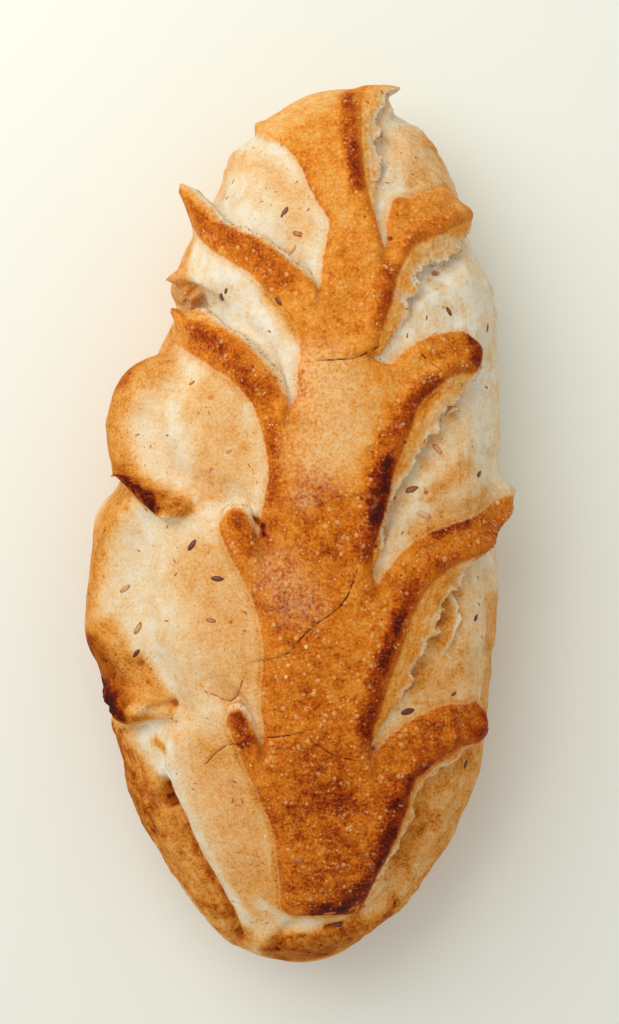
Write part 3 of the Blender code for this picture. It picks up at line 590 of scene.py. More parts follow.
def dome_normals(across, along, step=1e-3):
    span_x = dome(across + step, along) - dome(across - step, along)
    span_y = dome(across, along + step) - dome(across, along - step)
    normals = np.cross(span_x, span_y)
    return normals / np.linalg.norm(normals, axis=-1, keepdims=True)


def crack_distance(x, y):
    """Distance from the nearest hairline crack, above zero on its left and below zero on its right."""
    nearest = np.full(np.shape(x), CRACK_REACH)
    for line in CRACK_LINES:
        distance, _ = beside_line(x, y, line, CRACK_REACH)
        nearest = np.where(abs(distance) < abs(nearest), distance, nearest)
    return nearest


def crust_edges(places):
    """Depth in the leaf, share of ear, side of the loaf and depth within the torn lip, at each place."""
    x, y, _ = places.T
    depth = inside_crust(x, y)
    ear, side = ear_share(x, y)
    flat = places * (1, 1, 0)
    ragged = 1 + uneven(flat, RAG) + uneven(flat, FRAY)
    left = TORN_LEFT * between(TORN_LEFT_SHARE, 1, smooth_step(TORN_LEFT_START, TORN_LEFT_END, x))
    narrowed = smooth_step(TORN_END_START_X, TORN_END_X, x)
    right = along_table(TORN_RIGHT, y) * (1 - (1 - TORN_END_SHARE) * narrowed)
    torn = ragged * between(left, right, side)
    return depth, ear, side, depth + torn * ear


def ear_relief(places, depth, ear, torn, settings):
    """The crust's rise, the ear at its edge, the torn face under it and the cut beyond."""
    inside, outside = np.maximum(depth, 0), np.maximum(-depth, 0)
    lift = CRUST_RISE * (1 - np.exp(-inside / CRUST_SHOULDER))
    lift = lift + settings.ear_height * ear * bell(inside, EAR_WIDTH)
    past = np.maximum(outside - torn, 0)
    brink = smooth_step(0, settings.brink_width, past)
    deep = settings.cut_depth * (1 + uneven(places * (1, 1, 0), CUT_WANDER))
    cut = deep * ear * brink * bell(past, CUT_WIDTH) * (depth < 0)
    lift = lift - ear * settings.ear_height * clamp01(outside / torn) - cut
    lift = lift - HINGE_DROP * (1 - ear) * (1 - np.exp(-outside / HINGE_REACH))
    face = smooth_step(TORN_FACE_START, TORN_FACE_FULL, depth)
    face = face * smooth_step(0, TORN_FACE_FADE, torn - outside) * ear
    x, y, _ = places.T
    layered = np.stack([x, y, depth * TORN_LAYERS[0] / LAYER_THICKNESS], axis=1)
    lift = lift + face * (uneven(layered, TORN_LAYERS) + uneven(places, TORN_GRAIN))
    slide = settings.overhang * ear * bell(np.maximum(torn - outside, 0), LIP_SLIDE_WIDTH) * (outside <= torn)
    return lift, slide, brink


def marks_relief(places, lift):
    """The relief with folds, lips, craggy skin, cracks and pits, and where it is craggy or cracked."""
    x, y, z = places.T
    for width, height, line in FOLD_LINES:
        lift = lift + height * bell(inside_stroke(x, y, line), width)
    for reach, height, edge, line in LIP_LINES:
        beside, share = beside_line(x, y, line)
        high = smooth_step(-edge, edge, beside)
        fallen = LIP_FALL * (1 - high) * bell(np.minimum(beside, 0), LIP_FALL_REACH * reach)
        lift = lift + height * share * (high * bell(np.maximum(beside, 0), reach) - fallen)
    craggy = painted(x, y, np.zeros_like(x), ROUGH_STROKES)
    along = (y * math.cos(ROUGH_ANGLE) - x * math.sin(ROUGH_ANGLE)) / ROUGH_STRETCH
    across = x * math.cos(ROUGH_ANGLE) + y * math.sin(ROUGH_ANGLE)
    lift = lift + craggy * uneven(np.stack([across, along, z], axis=1), ROUGH)
    crack = crack_distance(x, y)
    lift = lift - CRACK_DEPTH * bell(crack, CRACK_WIDTH)
    lift = lift + CRACK_CURL * bell(crack - CRACK_CURL_OFF, CRACK_CURL_WIDTH)
    for pit_x, pit_y, radius, deep in PITS:
        lift = lift - deep * MM * bell(np.hypot(x - pit_x * MM, y - pit_y * MM), radius * MM)
    return lift, craggy, crack


def relief(places, settings):
    """How far the skin stands off the dome and slides sideways as an ear, and the edges it came from."""
    depth, ear, side, lip = crust_edges(places)
    torn = np.maximum((lip - depth) / np.maximum(ear, 1e-3), 1e-5)
    lift, slide, brink = ear_relief(places, depth, ear, torn, settings)
    crumb = 1 - smooth_step(-LIP_SOFTNESS, LIP_SOFTNESS, lip)
    lift = lift + (1 - crumb) * uneven(places, CRUST_PUCKER)
    pores = uneven(places, CRUMB_PUCKER) + uneven(places, CRUMB_PORES)
    lift = lift + crumb * (PORES_ON_SKIN + crumb * side * brink) * pores
    lift, craggy, crack = marks_relief(places, lift)
    height = places[:, 2]
    cuts_hold = smooth_step(CUTS_START_HEIGHT, CUTS_FULL_HEIGHT, height)
    swells = uneven(places, SWELL) + uneven(places, LUMP)
    lift = lift * cuts_hold + swells * smooth_step(0, WAIST_HEIGHT, height)
    slide = slide * cuts_hold
    way_x = LEFT_EAR_WAY[0] * (1 - side) + RIGHT_EAR_WAY[0] * side
    way_y = LEFT_EAR_WAY[1] * (1 - side) + RIGHT_EAR_WAY[1] * side
    edges = {"depth": depth, "ear": ear, "side": side, "lip": lip, "crack": crack, "craggy": craggy}
    return lift, np.stack([slide * way_x, slide * way_y, np.zeros_like(slide)], axis=-1), edges


def pull_tips(places):
    """Draws the skin out where an ear's end stands clear of the loaf."""
    for anchor, way, length, radius in EAR_TIPS:
        away = (places - np.array(anchor) * MM) * (1, 1, TIP_TALLNESS)
        share = clamp01(1 - np.linalg.norm(away, axis=1) / (radius * MM))
        pull = share**TIP_FALLOFF * length * MM
        places = places + pull[:, None] * np.array(Vector(way).normalized())
    return places


def skin_place(across, along, settings):
    """Finished places of the skin for disc coordinates, their places on the plain dome and the edges."""
    plain = dome(across, along)
    lift, shift, edges = relief(plain, settings)
    places = pull_tips(plain + dome_normals(across, along) * lift[:, None] + shift)
    places[:, 1] += CENTRE_SHIFT_Y
    places[:, 2] = np.maximum(places[:, 2], 0)
    return places, plain, edges


def square_to_disc(a, b):
    return a * np.sqrt(1 - b * b / 2), b * np.sqrt(1 - a * a / 2)


def painted(x, y, start, strokes):
    """A value that starts even and is painted over by soft strokes."""
    value = start
    for target, half_width, softness, points in strokes:
        line = np.array([(*p, half_width) for p in points], float) * MM
        reach = (half_width + softness) * MM
        share = smooth_step(-softness * MM, softness * MM, inside_stroke(x, y, line, reach))
        value = value * (1 - share) + target * share
    return value


def mesh_places(mesh):
    flat = np.empty(len(mesh.vertices) * 3, np.float32)
    mesh.vertices.foreach_get("co", flat)
    return flat.reshape(-1, 3).astype(float)


# How near to a kind of edge a place counts as, where faces are split: less keen kinds count as further off.
HINGE_LESS_KEEN = 1.5 * MM
CRACK_LESS_KEEN = 0.4 * MM
PIT_LESS_KEEN = 1 * MM
TORN_FACE_NEARNESS = 0.9 * MM
LIP_EAR_SHARE = 0.15  # an ear's lip counts where its share is above this
TORN_FACE_EAR_SHARE = 0.2
LIP_SHARE = 0.02
FAR = 1.0


def detail_distance(x, y):
    """How far each place is from the nearest edge that needs small faces."""
    places = np.stack([x, y, np.zeros_like(x)], axis=-1)
    depth, ear, _, lip = crust_edges(places)
    hinge = abs(depth) + HINGE_LESS_KEEN * (1 - ear)
    nearest = np.minimum(hinge, np.where(ear > LIP_EAR_SHARE, abs(lip), FAR))
    torn_face = (depth < 0) & (lip > 0) & (ear > TORN_FACE_EAR_SHARE)
    nearest = np.where(torn_face, TORN_FACE_NEARNESS, nearest)
    nearest = np.minimum(nearest, abs(crack_distance(x, y)) + CRACK_LESS_KEEN)
    for _, _, _, line in LIP_LINES:
        beside, share = beside_line(x, y, line)
        nearest = np.minimum(nearest, np.where(share > LIP_SHARE, abs(beside), FAR))
    for pit_x, pit_y, radius, _ in PITS:
        away = np.hypot(x - pit_x * MM, y - pit_y * MM) - radius * MM
        nearest = np.minimum(nearest, away + PIT_LESS_KEEN)
    return nearest


def refined_sheet(settings):
    """A square grid whose faces are split again near the skin's edges."""
    bpy.ops.mesh.primitive_grid_add(
        x_subdivisions=settings.faces_across, y_subdivisions=settings.faces_along, size=2
    )
    sheet = bpy.context.object
    for reach in (settings.first_refinement, settings.second_refinement):
        shape = bmesh.new()
        shape.from_mesh(sheet.data)
        shape.faces.ensure_lookup_table()
        middles = np.array([face.calc_center_median() for face in shape.faces])
        plain = dome(*square_to_disc(middles[:, 0], middles[:, 1]))
        wanted = detail_distance(plain[:, 0], plain[:, 1]) < reach
        wanted &= plain[:, 2] > CUTS_START_HEIGHT
        edges = {edge for face, split in zip(shape.faces, wanted) if split for edge in face.edges}
        bmesh.ops.subdivide_edges(shape, edges=list(edges), cuts=1, use_grid_fill=True)
        shape.to_mesh(sheet.data)
        shape.free()
    return sheet


def close_foot(mesh):
    """Fills the open rim with the flat foot and points every face outwards."""
    shape = bmesh.new()
    shape.from_mesh(mesh)
    bmesh.ops.contextual_create(shape, geom=[edge for edge in shape.edges if edge.is_boundary])
    bmesh.ops.recalc_face_normals(shape, faces=shape.faces)
    shape.to_mesh(mesh)
    shape.free()


# Where the masks change, as a depth in the crust or within the torn lip, below zero outside it.
STRETCHED_LIP = (-0.6 * MM, -3 * MM)
BLISTERED_CRUST = (0.5 * MM, 2 * MM)
FLOUR_HIDES_BLISTERS = 0.7
FRILL_WIDTH = 0.9 * MM
FRILL_EAR = (0.3, 0.8)
FRILL_ON_LEFT = 0.35  # the left side's flakes as a share of the right side's
BRAN_ON_CRUST = 0.25  # the crust's bran as a share of the crumb's
RIDGE_INSIDE = (5.5 * MM, 1 * MM)
RIDGE_OUTSIDE = (-0.6 * MM, 0.4 * MM)
RIDGE_ON_LEFT = 0.45
HINGE_RIDGE = 0.3
HINGE_RIDGE_DEPTH = 0.9 * MM
HINGE_RIDGE_WIDTH = 1.1 * MM
OFF_PIT_MOST = 3  # distances from a pit, in its radii, are kept up to this


def ridge_share(edges):
    """Where the crust's raised rim browns most: just inside its torn edge, and thinly along its hinge."""
    depth, ear, side = edges["depth"], edges["ear"], edges["side"]
    rim = smooth_step(*RIDGE_INSIDE, depth) * smooth_step(*RIDGE_OUTSIDE, depth)
    hinge = HINGE_RIDGE * bell(depth - HINGE_RIDGE_DEPTH, HINGE_RIDGE_WIDTH) * (1 - ear)
    return rim * ear * between(RIDGE_ON_LEFT, 1, side) + hinge


def give_masks(mesh, plain, edges):
    """Writes what the finish and the scatter read at each point of the skin."""
    x, y, z = plain.T
    bare = np.zeros_like(x)
    down = smooth_step(BAKE_TOP_Y, BAKE_FOOT_Y, y)
    wall = 1 - smooth_step(WALL_FULL, WALL_TOP, z)
    on_top = 1 - wall
    browned = np.maximum(smooth_step(WALL_BROWN_REACH, -WALL_BROWN_REACH, x), WALL_BROWN_FOOT * down)
    crumb_start = between(CRUMB_BAKE_TOP, CRUMB_BAKE_FOOT, down)
    crumb_bake_and_shade = painted(x, y, crumb_start, CRUMB_STROKES)
    crumb_bake_and_shade = between(crumb_start, crumb_bake_and_shade, 1 - STROKES_FADE * wall)
    flour = painted(x, y, bare, FLOUR_STROKES)
    holes = [np.hypot(x - pit[0] * MM, y - pit[1] * MM) / (pit[2] * MM) for pit in PITS]
    crust = smooth_step(*BLISTERED_CRUST, edges["depth"]) * on_top
    frill = bell(edges["lip"], FRILL_WIDTH) * smooth_step(*FRILL_EAR, edges["ear"]) * on_top
    masks = {
        "crust_mm": edges["depth"] / MM,
        "lip_mm": edges["lip"] / MM,
        "crack_mm": edges["crack"] / MM,
        "crust_bake_and_shade": painted(x, y, between(CRUST_BAKE_TOP, CRUST_BAKE_FOOT, down), CRUST_STROKES),
        "crumb_bake_and_shade": crumb_bake_and_shade + wall * between(WALL_BAKE_RIGHT, WALL_BAKE_LEFT, browned),
        "flour": flour * on_top,
        "pale_tear": painted(x, y, bare, PALE_TEAR_STROKES),
        "craggy": edges["craggy"],
        "off_pit": np.minimum(np.min(holes, axis=0), OFF_PIT_MOST),
        "wall": wall,
        "stretched": edges["side"] * smooth_step(*STRETCHED_LIP, edges["lip"]) * on_top,
        "ridge": ridge_share(edges) * on_top,
        "blister_share": crust * (1 - FLOUR_HIDES_BLISTERS * clamp01(flour)),
        "frill_share": frill * between(FRILL_ON_LEFT, 1, edges["side"]),
        "bran_share": (1 - crust) * on_top + BRAN_ON_CRUST * crust,
    }
    for name, values in masks.items():
        layer = mesh.attributes.new(name, "FLOAT", "POINT")
        layer.data.foreach_set("value", np.asarray(values, np.float32))


def light_of(red, green, blue):
    """A colour read off a screen, from 0 to 255, as the linear colour that a shader takes."""
    shares = [channel / 255 for channel in (red, green, blue)]
    linear = [s / 12.92 if s <= 0.04045 else ((s + 0.055) / 1.055) ** 2.4 for s in shares]
    return (*linear, 1.0)


def colour_property(name, description, red, green, blue):
    return FloatVectorProperty(
        name=name, description=description, subtype="COLOR", size=4, min=0, max=1,
        default=light_of(red, green, blue),
    )


def length_property(name, description, default):
    return FloatProperty(name=name, description=description, default=default, unit="LENGTH")


def share_property(name, description, default, most=1):
    return FloatProperty(name=name, description=description, default=default, min=0, max=most)


class Wiring:
    """Places nodes in a tree and joins them, so that a material reads from its coordinates to its shader."""

    def __init__(self, tree):
        self.tree = tree

    def feed(self, socket, value):
        if isinstance(value, bpy.types.NodeSocket):
            self.tree.links.new(value, socket)
        else:
            socket.default_value = value

    def put(self, kind, inputs=None, **settings):
        node = self.tree.nodes.new(kind)
        for name, value in settings.items():
            setattr(node, name, value)
        for name, value in (inputs or {}).items():
            socket = next(s for s in node.inputs if s.enabled and s.name == name)
            self.feed(socket, value)
        return node

    def maths(self, operation, *values):
        node = self.put("ShaderNodeMath", operation=operation)
        for socket, value in zip(node.inputs, values):
            self.feed(socket, value)
        return node.outputs[0]

    def times(self, first, second):
        return self.maths("MULTIPLY", first, second)

    def times_plus(self, first, second, third):
        return self.maths("MULTIPLY_ADD", first, second, third)

    def step(self, low, high, value):
        """0 below low and 1 above high, or the other way round where low is the larger."""
        inputs = {"Value": value, "From Min": low, "From Max": high}
        return self.put("ShaderNodeMapRange", inputs, interpolation_type="SMOOTHSTEP").outputs["Result"]

    def blend(self, share, first, second):
        return self.put("ShaderNodeMix", {"Factor": share, "A": first, "B": second}).outputs[0]

    def tint(self, share, first, second):
        inputs = {"Factor": share, "A": first, "B": second}
        return self.put("ShaderNodeMix", inputs, data_type="RGBA").outputs[2]

    def noise(self, place, size, detail=2.0, rough=0.5):
        """Noise from -1 to 1 whose lumps are about the size given, in metres."""
        inputs = {"Vector": place, "Scale": 1 / size, "Detail": detail, "Roughness": rough}
        return self.times_plus(self.put("ShaderNodeTexNoise", inputs).outputs["Fac"], 2.0, -1.0)

    def mask(self, name):
        return self.put("ShaderNodeAttribute", attribute_name=name).outputs["Fac"]

    def ramp(self, value, stops):
        node = self.put("ShaderNodeValToRGB", {"Fac": value})
        elements = node.color_ramp.elements
        for element, (position, _) in zip(elements, (stops[0], stops[-1])):
            element.position = position
        for position, _ in stops[1:-1]:
            elements.new(position)
        for element, (_, colour) in zip(elements, stops):
            element.color = colour
        return node.outputs["Color"]

    def group(self, tree, **inputs):
        node = self.put("ShaderNodeGroup", node_tree=tree)
        for name, value in inputs.items():
            self.feed(node.inputs[name.replace("_", " ")], value)
        return node.outputs


def new_group(name, inputs, outputs):
    """A shader node group with a vector input, named numbers in and out, and its wiring."""
    tree = bpy.data.node_groups.new(name, "ShaderNodeTree")
    tree.interface.new_socket("Vector", in_out="INPUT", socket_type="NodeSocketVector")
    for socket_name in inputs:
        tree.interface.new_socket(socket_name, in_out="INPUT", socket_type="NodeSocketFloat")
    for socket_name in outputs:
        tree.interface.new_socket(socket_name, in_out="OUTPUT", socket_type="NodeSocketFloat")
    w = Wiring(tree)
    return w, w.put("NodeGroupInput").outputs, w.put("NodeGroupOutput").inputs


def uneven_bake_group():
    """Three sizes of mottling added up, for how unevenly anything browns."""
    w, given, result = new_group("Uneven bake", ("Patches", "Blotches", "Freckles"), ("Mottle",))
    place = given["Vector"]
    mottle = w.times(w.noise(place, 13 * MM, detail=3.0), given["Patches"])
    mottle = w.times_plus(w.noise(place, 3.6 * MM, detail=3.0), given["Blotches"], mottle)
    mottle = w.times_plus(w.noise(place, 0.9 * MM, detail=3.0, rough=0.65), given["Freckles"], mottle)
    w.feed(result["Mottle"], mottle)
    return w.tree


BLISTER_BEND = 0.7 * MM  # blisters aren't quite round: how far their coordinates are bent, and how often
BLISTER_BENDS_PER_METRE = 700.0
BLISTER_SMALLEST = 0.16  # as a share of a cell
BLISTER_SIZE_RANGE = 0.22


def blister_group():
    """Round blisters of one size: their pale domes and the rings round them."""
    w, given, result = new_group("Blisters", ("Cells per metre", "Share"), ("Dome", "Ring"))
    place = given["Vector"]
    bend = w.put("ShaderNodeTexNoise", {"Vector": place, "Scale": BLISTER_BENDS_PER_METRE, "Detail": 1.0})
    offset = w.put("ShaderNodeVectorMath", operation="MULTIPLY_ADD")
    for socket, value in zip(offset.inputs, (bend.outputs["Color"], (BLISTER_BEND,) * 3, place)):
        w.feed(socket, value)
    cells = w.put(
        "ShaderNodeTexVoronoi",
        {"Vector": offset.outputs[0], "Scale": given["Cells per metre"], "Randomness": 1.0},
    )
    chance = w.put("ShaderNodeSeparateColor", {"Color": cells.outputs["Color"]}).outputs
    present = w.step(0.0, 0.08, w.maths("SUBTRACT", given["Share"], chance["Red"]))
    size = w.times_plus(chance["Green"], BLISTER_SIZE_RANGE, BLISTER_SMALLEST)
    away = w.maths("DIVIDE", cells.outputs["Distance"], size)
    ring = w.times(w.step(0.5, 0.95, away), w.step(1.5, 1.05, away))
    w.feed(result["Dome"], w.times(w.step(1.0, 0.45, away), present))
    w.feed(result["Ring"], w.times(ring, present))
    return w.tree


def shared_groups():
    """The node groups that several finishes use, made once."""
    made = {"bake": ("Uneven bake", uneven_bake_group), "blisters": ("Blisters", blister_group)}
    return {key: bpy.data.node_groups.get(name) or build() for key, (name, build) in made.items()}


def new_material(name):
    """A material with its wiring, its object coordinates and its shader."""
    material = bpy.data.materials.new(name)
    material.use_nodes = True
    w = Wiring(material.node_tree)
    place = w.put("ShaderNodeTexCoord").outputs["Object"]
    return material, w, place, material.node_tree.nodes["Principled BSDF"]


# How far each effect moves the bake along its ramp, from pale at 0 to charred at 1.
RIDGE_BAKE = 0.1
RIDGE_EVENNESS = -0.45  # the mottling changes by this share of itself on a ridge
TORN_BAKE = -0.14
TORN_LAYERS_BAKE = 0.26
SPECKLE_BAKE = 0.16
SPECKLE_BASE = 0.04
RUST_SPOTS_BAKE = 0.24
GILDING_BAKE = 0.11
HINGE_GLOW_BAKE = 0.2
CRAGGY_BAKE = 0.28
STRIPES_BAKE = 0.08
FRAYED_START = 0.06  # a frayed edge starts here, and takes this share of the bake beside it
FRAYED_SHARE = 0.5
FRAYED_RIM_BAKE = 0.3
FRAYED_MOTTLE = 0.7
FRAYED_LAYERS_BAKE = 0.16

# How strongly each effect shows in the colour.
SMALL_BLISTERS = 0.78
BLISTER_RINGS = 0.5
BLISTER_DOMES = 0.36
BLISTERS_OFF_CLUSTERS = 0.25
BRAN_ON_CRUMB_TINT = 0.6
BRAN_ON_CRUST_TINT = 0.35
PIT_RING_TINT = 0.06
# Painted shade at the bottom of each pit, by this share.
PIT_PAINTED_SHADE = 0.75

# How rough dust makes the skin and mottling keeps it, and the heights of the fine relief.
DUST_ROUGHNESS = 0.2
MOTTLE_ROUGHNESS = -0.12
GRAIN_RELIEF = 0.35
WRINKLE_RELIEF = 0.5
SPOT_RELIEF = 0.9
LARGE_SPOT_RELIEF = 0.5
LAYER_RELIEF = 0.8
STRIPE_RELIEF = 0.8


def skin_edges(w, place):
    """The crust's edges at a place, in millimetres and as shares, and the wander that softens them."""
    wander = w.times(w.noise(place, 3 * MM), 0.5)
    wander = w.times_plus(w.noise(place, 0.9 * MM), 0.35, wander)
    lip = w.times_plus(wander, 0.9, w.mask("lip_mm"))
    edge = w.times_plus(wander, 0.6, w.mask("crust_mm"))
    crust = w.step(-0.65, 0.45, lip)
    torn = w.times(w.step(0.7, -0.9, edge), crust)
    ragged = w.times_plus(w.noise(place, 8 * MM), 2.0, lip)
    ragged = w.times_plus(w.noise(place, 1.6 * MM, detail=3.0), 1.5, ragged)
    ragged = w.times_plus(w.mask("pale_tear"), -3.0, ragged)
    frayed = w.times(torn, w.step(3.4, 1.0, ragged))
    return {"wander": wander, "edge": edge, "crust": crust, "torn": torn, "frayed": frayed}


def torn_layers(w, place):
    """Noise drawn out along the torn edge, as the layers of a torn crust."""
    layers = w.put("ShaderNodeCombineXYZ", {
        "X": w.times(w.mask("crust_mm"), 0.9),
        "Y": w.times(w.noise(place, 9 * MM), 1.2),
        "Z": w.times(w.noise(place, 4 * MM), 0.5),
    }).outputs[0]
    return w.noise(layers, 1.0, detail=3.0)


def blister_marks(w, place, groups):
    """The blisters' height, and how pale their domes and rings are."""
    small = w.group(groups["blisters"], Vector=place, Cells_per_metre=760.0, Share=0.5)
    large = w.group(groups["blisters"], Vector=place, Cells_per_metre=400.0, Share=0.2)
    spots = w.maths("MAXIMUM", small["Dome"], w.times(large["Dome"], LARGE_SPOT_RELIEF))
    rings = w.times(large["Ring"], w.step(-0.3, 0.3, w.noise(place, 0.7 * MM)))
    clusters = w.step(-0.22, 0.3, w.noise(place, 7 * MM, detail=3.0))
    pale = w.maths("MAXIMUM", w.times(small["Dome"], SMALL_BLISTERS), w.times(rings, BLISTER_RINGS))
    pale = w.times(pale, w.times_plus(clusters, 1 - BLISTERS_OFF_CLUSTERS, BLISTERS_OFF_CLUSTERS))
    return spots, w.maths("MAXIMUM", pale, w.times(w.mask("blister"), BLISTER_DOMES))


def crust_finish(w, finish, edges, mottle, layers, pale):
    """The crust's colour: how brown its strokes, ridges and torn layers are, and the blisters on it."""
    evened = w.times(mottle, w.times_plus(w.mask("ridge"), RIDGE_EVENNESS, 1.0))
    bake = w.maths("ADD", w.mask("crust_bake_and_shade"), evened)
    bake = w.times_plus(w.mask("ridge"), RIDGE_BAKE, bake)
    bake = w.times_plus(edges["torn"], TORN_BAKE, bake)
    bake = w.times_plus(w.times(edges["torn"], layers), TORN_LAYERS_BAKE, bake)
    colour = w.ramp(bake, (
        (0.0, finish.dusted), (0.24, finish.gold), (0.44, finish.orange), (0.6, finish.caramel),
        (0.76, finish.russet), (0.9, finish.dark), (1.0, finish.char),
    ))
    pale = w.times(pale, w.times(w.step(1.0, 0.6, bake), w.step(0.28, 0.58, bake)))
    return w.tint(pale, colour, finish.blister)


def crumb_speckle(w, place, groups, edge):
    """The small browner marks on the pale skin, by how much they move its bake."""
    baked = w.mask("crumb_bake_and_shade")
    toasted = w.step(-0.2, 0.35, w.times_plus(baked, 1.4, w.noise(place, 6 * MM, detail=3.0)))
    toasted = w.times(toasted, w.step(0.8, 0.35, baked))
    grains = w.step(-0.2, 0.45, w.noise(place, 0.8 * MM, detail=3.0, rough=0.65))
    speckle = w.times(w.times_plus(grains, SPECKLE_BAKE, SPECKLE_BASE), toasted)
    rust = w.group(groups["blisters"], Vector=place, Cells_per_metre=300.0, Share=0.2)["Dome"]
    rust = w.times(rust, w.step(-0.35, 0.25, w.noise(place, 0.6 * MM)))
    rust = w.times(rust, w.maths("SUBTRACT", 1.0, w.mask("wall")))
    speckle = w.times_plus(rust, RUST_SPOTS_BAKE, speckle)
    gilded = w.times(w.step(0.02, 0.2, w.noise(place, 10 * MM, detail=3.0)), w.mask("stretched"))
    speckle = w.times_plus(gilded, GILDING_BAKE, speckle)
    glow = w.times(w.step(-2.6, -0.2, w.mask("crust_mm")), w.step(0.5, -0.2, edge))
    speckle = w.times_plus(glow, HINGE_GLOW_BAKE, speckle)
    grain = w.put("ShaderNodeMapping", {
        "Vector": place, "Rotation": (0.0, 0.0, ROUGH_ANGLE), "Scale": (1.0, ROUGH_STRETCH, 1.0),
    }, vector_type="TEXTURE").outputs[0]
    streaks = w.times(w.mask("craggy"), w.noise(grain, 1.8 * MM, detail=4.0, rough=0.6))
    return w.times_plus(streaks, CRAGGY_BAKE, speckle)


def crumb_finish(w, place, finish, groups, edges, mottle, layers, stripes):
    """The crumb's colour: how toasted its strokes, speckle and stripes are, and the torn edge's own bake."""
    toast = w.group(groups["bake"], Vector=place, Patches=0.13, Blotches=0.18, Freckles=0.16)["Mottle"]
    bake = w.maths("ADD", w.mask("crumb_bake_and_shade"), toast)
    bake = w.maths("ADD", bake, crumb_speckle(w, place, groups, edges["edge"]))
    bake = w.times_plus(stripes, STRIPES_BAKE, bake)
    frayed = w.times_plus(w.mask("crumb_bake_and_shade"), FRAYED_SHARE, FRAYED_START)
    frayed = w.times_plus(w.step(0.2, 2.6, w.mask("lip_mm")), FRAYED_RIM_BAKE, frayed)
    frayed = w.times_plus(mottle, FRAYED_MOTTLE, frayed)
    frayed = w.times_plus(layers, FRAYED_LAYERS_BAKE, frayed)
    return w.ramp(w.blend(edges["torn"], bake, frayed), (
        (0.0, finish.white), (0.18, finish.cream), (0.36, finish.peach), (0.56, finish.toast),
        (0.74, finish.brown), (0.9, finish.dark), (1.0, finish.char),
    ))


def marked(w, place, finish, groups, edges, crust_share, colour, dust):
    """The skin's colour with flour and bran on it, and painted shade in its pits and cracks."""
    colour = w.tint(dust, colour, finish.flour)
    bran = w.group(groups["blisters"], Vector=place, Cells_per_metre=900.0, Share=0.07)["Dome"]
    bran = w.times(bran, w.blend(edges["crust"], BRAN_ON_CRUMB_TINT, BRAN_ON_CRUST_TINT))
    colour = w.tint(bran, colour, finish.bran)
    off_pit = w.mask("off_pit")
    ring = w.times(w.step(0.9, 1.3, off_pit), w.step(2.2, 1.5, off_pit))
    colour = w.tint(w.times(ring, PIT_RING_TINT), colour, finish.blister)
    # The painted shade's colour in pits and cracks: brown in the crumb, darker in the crust.
    painted_shade_colour = w.tint(crust_share, finish.brown, finish.dark)
    colour = w.tint(w.times(w.step(1.0, 0.5, off_pit), PIT_PAINTED_SHADE), colour, painted_shade_colour)
    # Each hairline crack gets a thin broken line of painted shade.
    crack = w.maths("ABSOLUTE", w.times_plus(edges["wander"], 0.3, w.mask("crack_mm")))
    broken = w.step(-0.35, 0.2, w.noise(place, 2.6 * MM))
    return w.tint(w.times(w.step(0.36, 0.08, crack), broken), colour, painted_shade_colour)


def skin_material(finish, groups):
    """The whole skin: a ramp of crust browns inside the lip, a ramp of toasted crumb outside it."""
    material, w, place, shader = new_material("baked skin")
    edges = skin_edges(w, place)
    layers = torn_layers(w, place)
    spots, pale = blister_marks(w, place, groups)
    mottle = w.group(groups["bake"], Vector=place, Patches=0.16, Blotches=0.26, Freckles=0.3)["Mottle"]
    squashed = w.put("ShaderNodeMapping", {"Vector": place, "Scale": (1.0, 0.08, 0.5)}).outputs[0]
    stripes = w.times(w.noise(squashed, 1.6 * MM, detail=3.0), w.mask("stretched"))

    crust_colour = crust_finish(w, finish, edges, mottle, layers, pale)
    crumb_colour = crumb_finish(w, place, finish, groups, edges, mottle, layers, stripes)
    baked = w.maths("SUBTRACT", edges["crust"], edges["frayed"])
    crust_share = w.times(baked, w.step(0.95, 0.35, w.mask("wall")))
    dust = w.times(w.mask("flour"), w.step(-0.28, 0.34, w.noise(place, 1.1 * MM, detail=3.0, rough=0.6)))
    colour = w.tint(crust_share, crumb_colour, crust_colour)
    w.feed(shader.inputs["Base Color"], marked(w, place, finish, groups, edges, crust_share, colour, dust))

    rough = w.blend(crust_share, finish.crumb_roughness, finish.crust_roughness)
    rough = w.times_plus(dust, DUST_ROUGHNESS, w.times_plus(mottle, MOTTLE_ROUGHNESS, rough))
    w.feed(shader.inputs["Roughness"], rough)
    shader.inputs["Specular IOR Level"].default_value = finish.gloss

    height = w.times(w.noise(place, 2.2 * MM, detail=3.0), WRINKLE_RELIEF)
    height = w.times_plus(w.noise(place, 0.8 * MM, detail=3.0, rough=0.6), GRAIN_RELIEF, height)
    height = w.times_plus(spots, SPOT_RELIEF, height)
    height = w.times_plus(w.times(layers, edges["torn"]), LAYER_RELIEF, height)
    height = w.times_plus(stripes, STRIPE_RELIEF, height)
    bump = w.put("ShaderNodeBump", {"Strength": 1.0, "Distance": finish.bump_height, "Height": height})
    w.feed(shader.inputs["Normal"], bump.outputs["Normal"])
    return material


HUSK_MOTTLE_ROUGHNESS = 0.2
HUSK_RELIEF = 0.1 * MM


def seed_material(name, colour, toast_and_shade_colour, roughness, groups):
    """A seed's husk: darker towards its ends, with painted shade round its rim, mottled and a little glossy.
    """
    material, w, place, shader = new_material(name)
    mottle = w.group(groups["bake"], Vector=place, Patches=0.1, Blotches=0.2, Freckles=0.35)["Mottle"]
    share = w.maths("ADD", w.mask("husk_toast_and_rim_shade"), mottle)
    w.feed(shader.inputs["Base Color"], w.tint(share, colour, toast_and_shade_colour))
    w.feed(shader.inputs["Roughness"], w.times_plus(mottle, HUSK_MOTTLE_ROUGHNESS, roughness))
    bump = w.put("ShaderNodeBump", {"Strength": 0.6, "Distance": HUSK_RELIEF, "Height": mottle})
    w.feed(shader.inputs["Normal"], bump.outputs["Normal"])
    return material


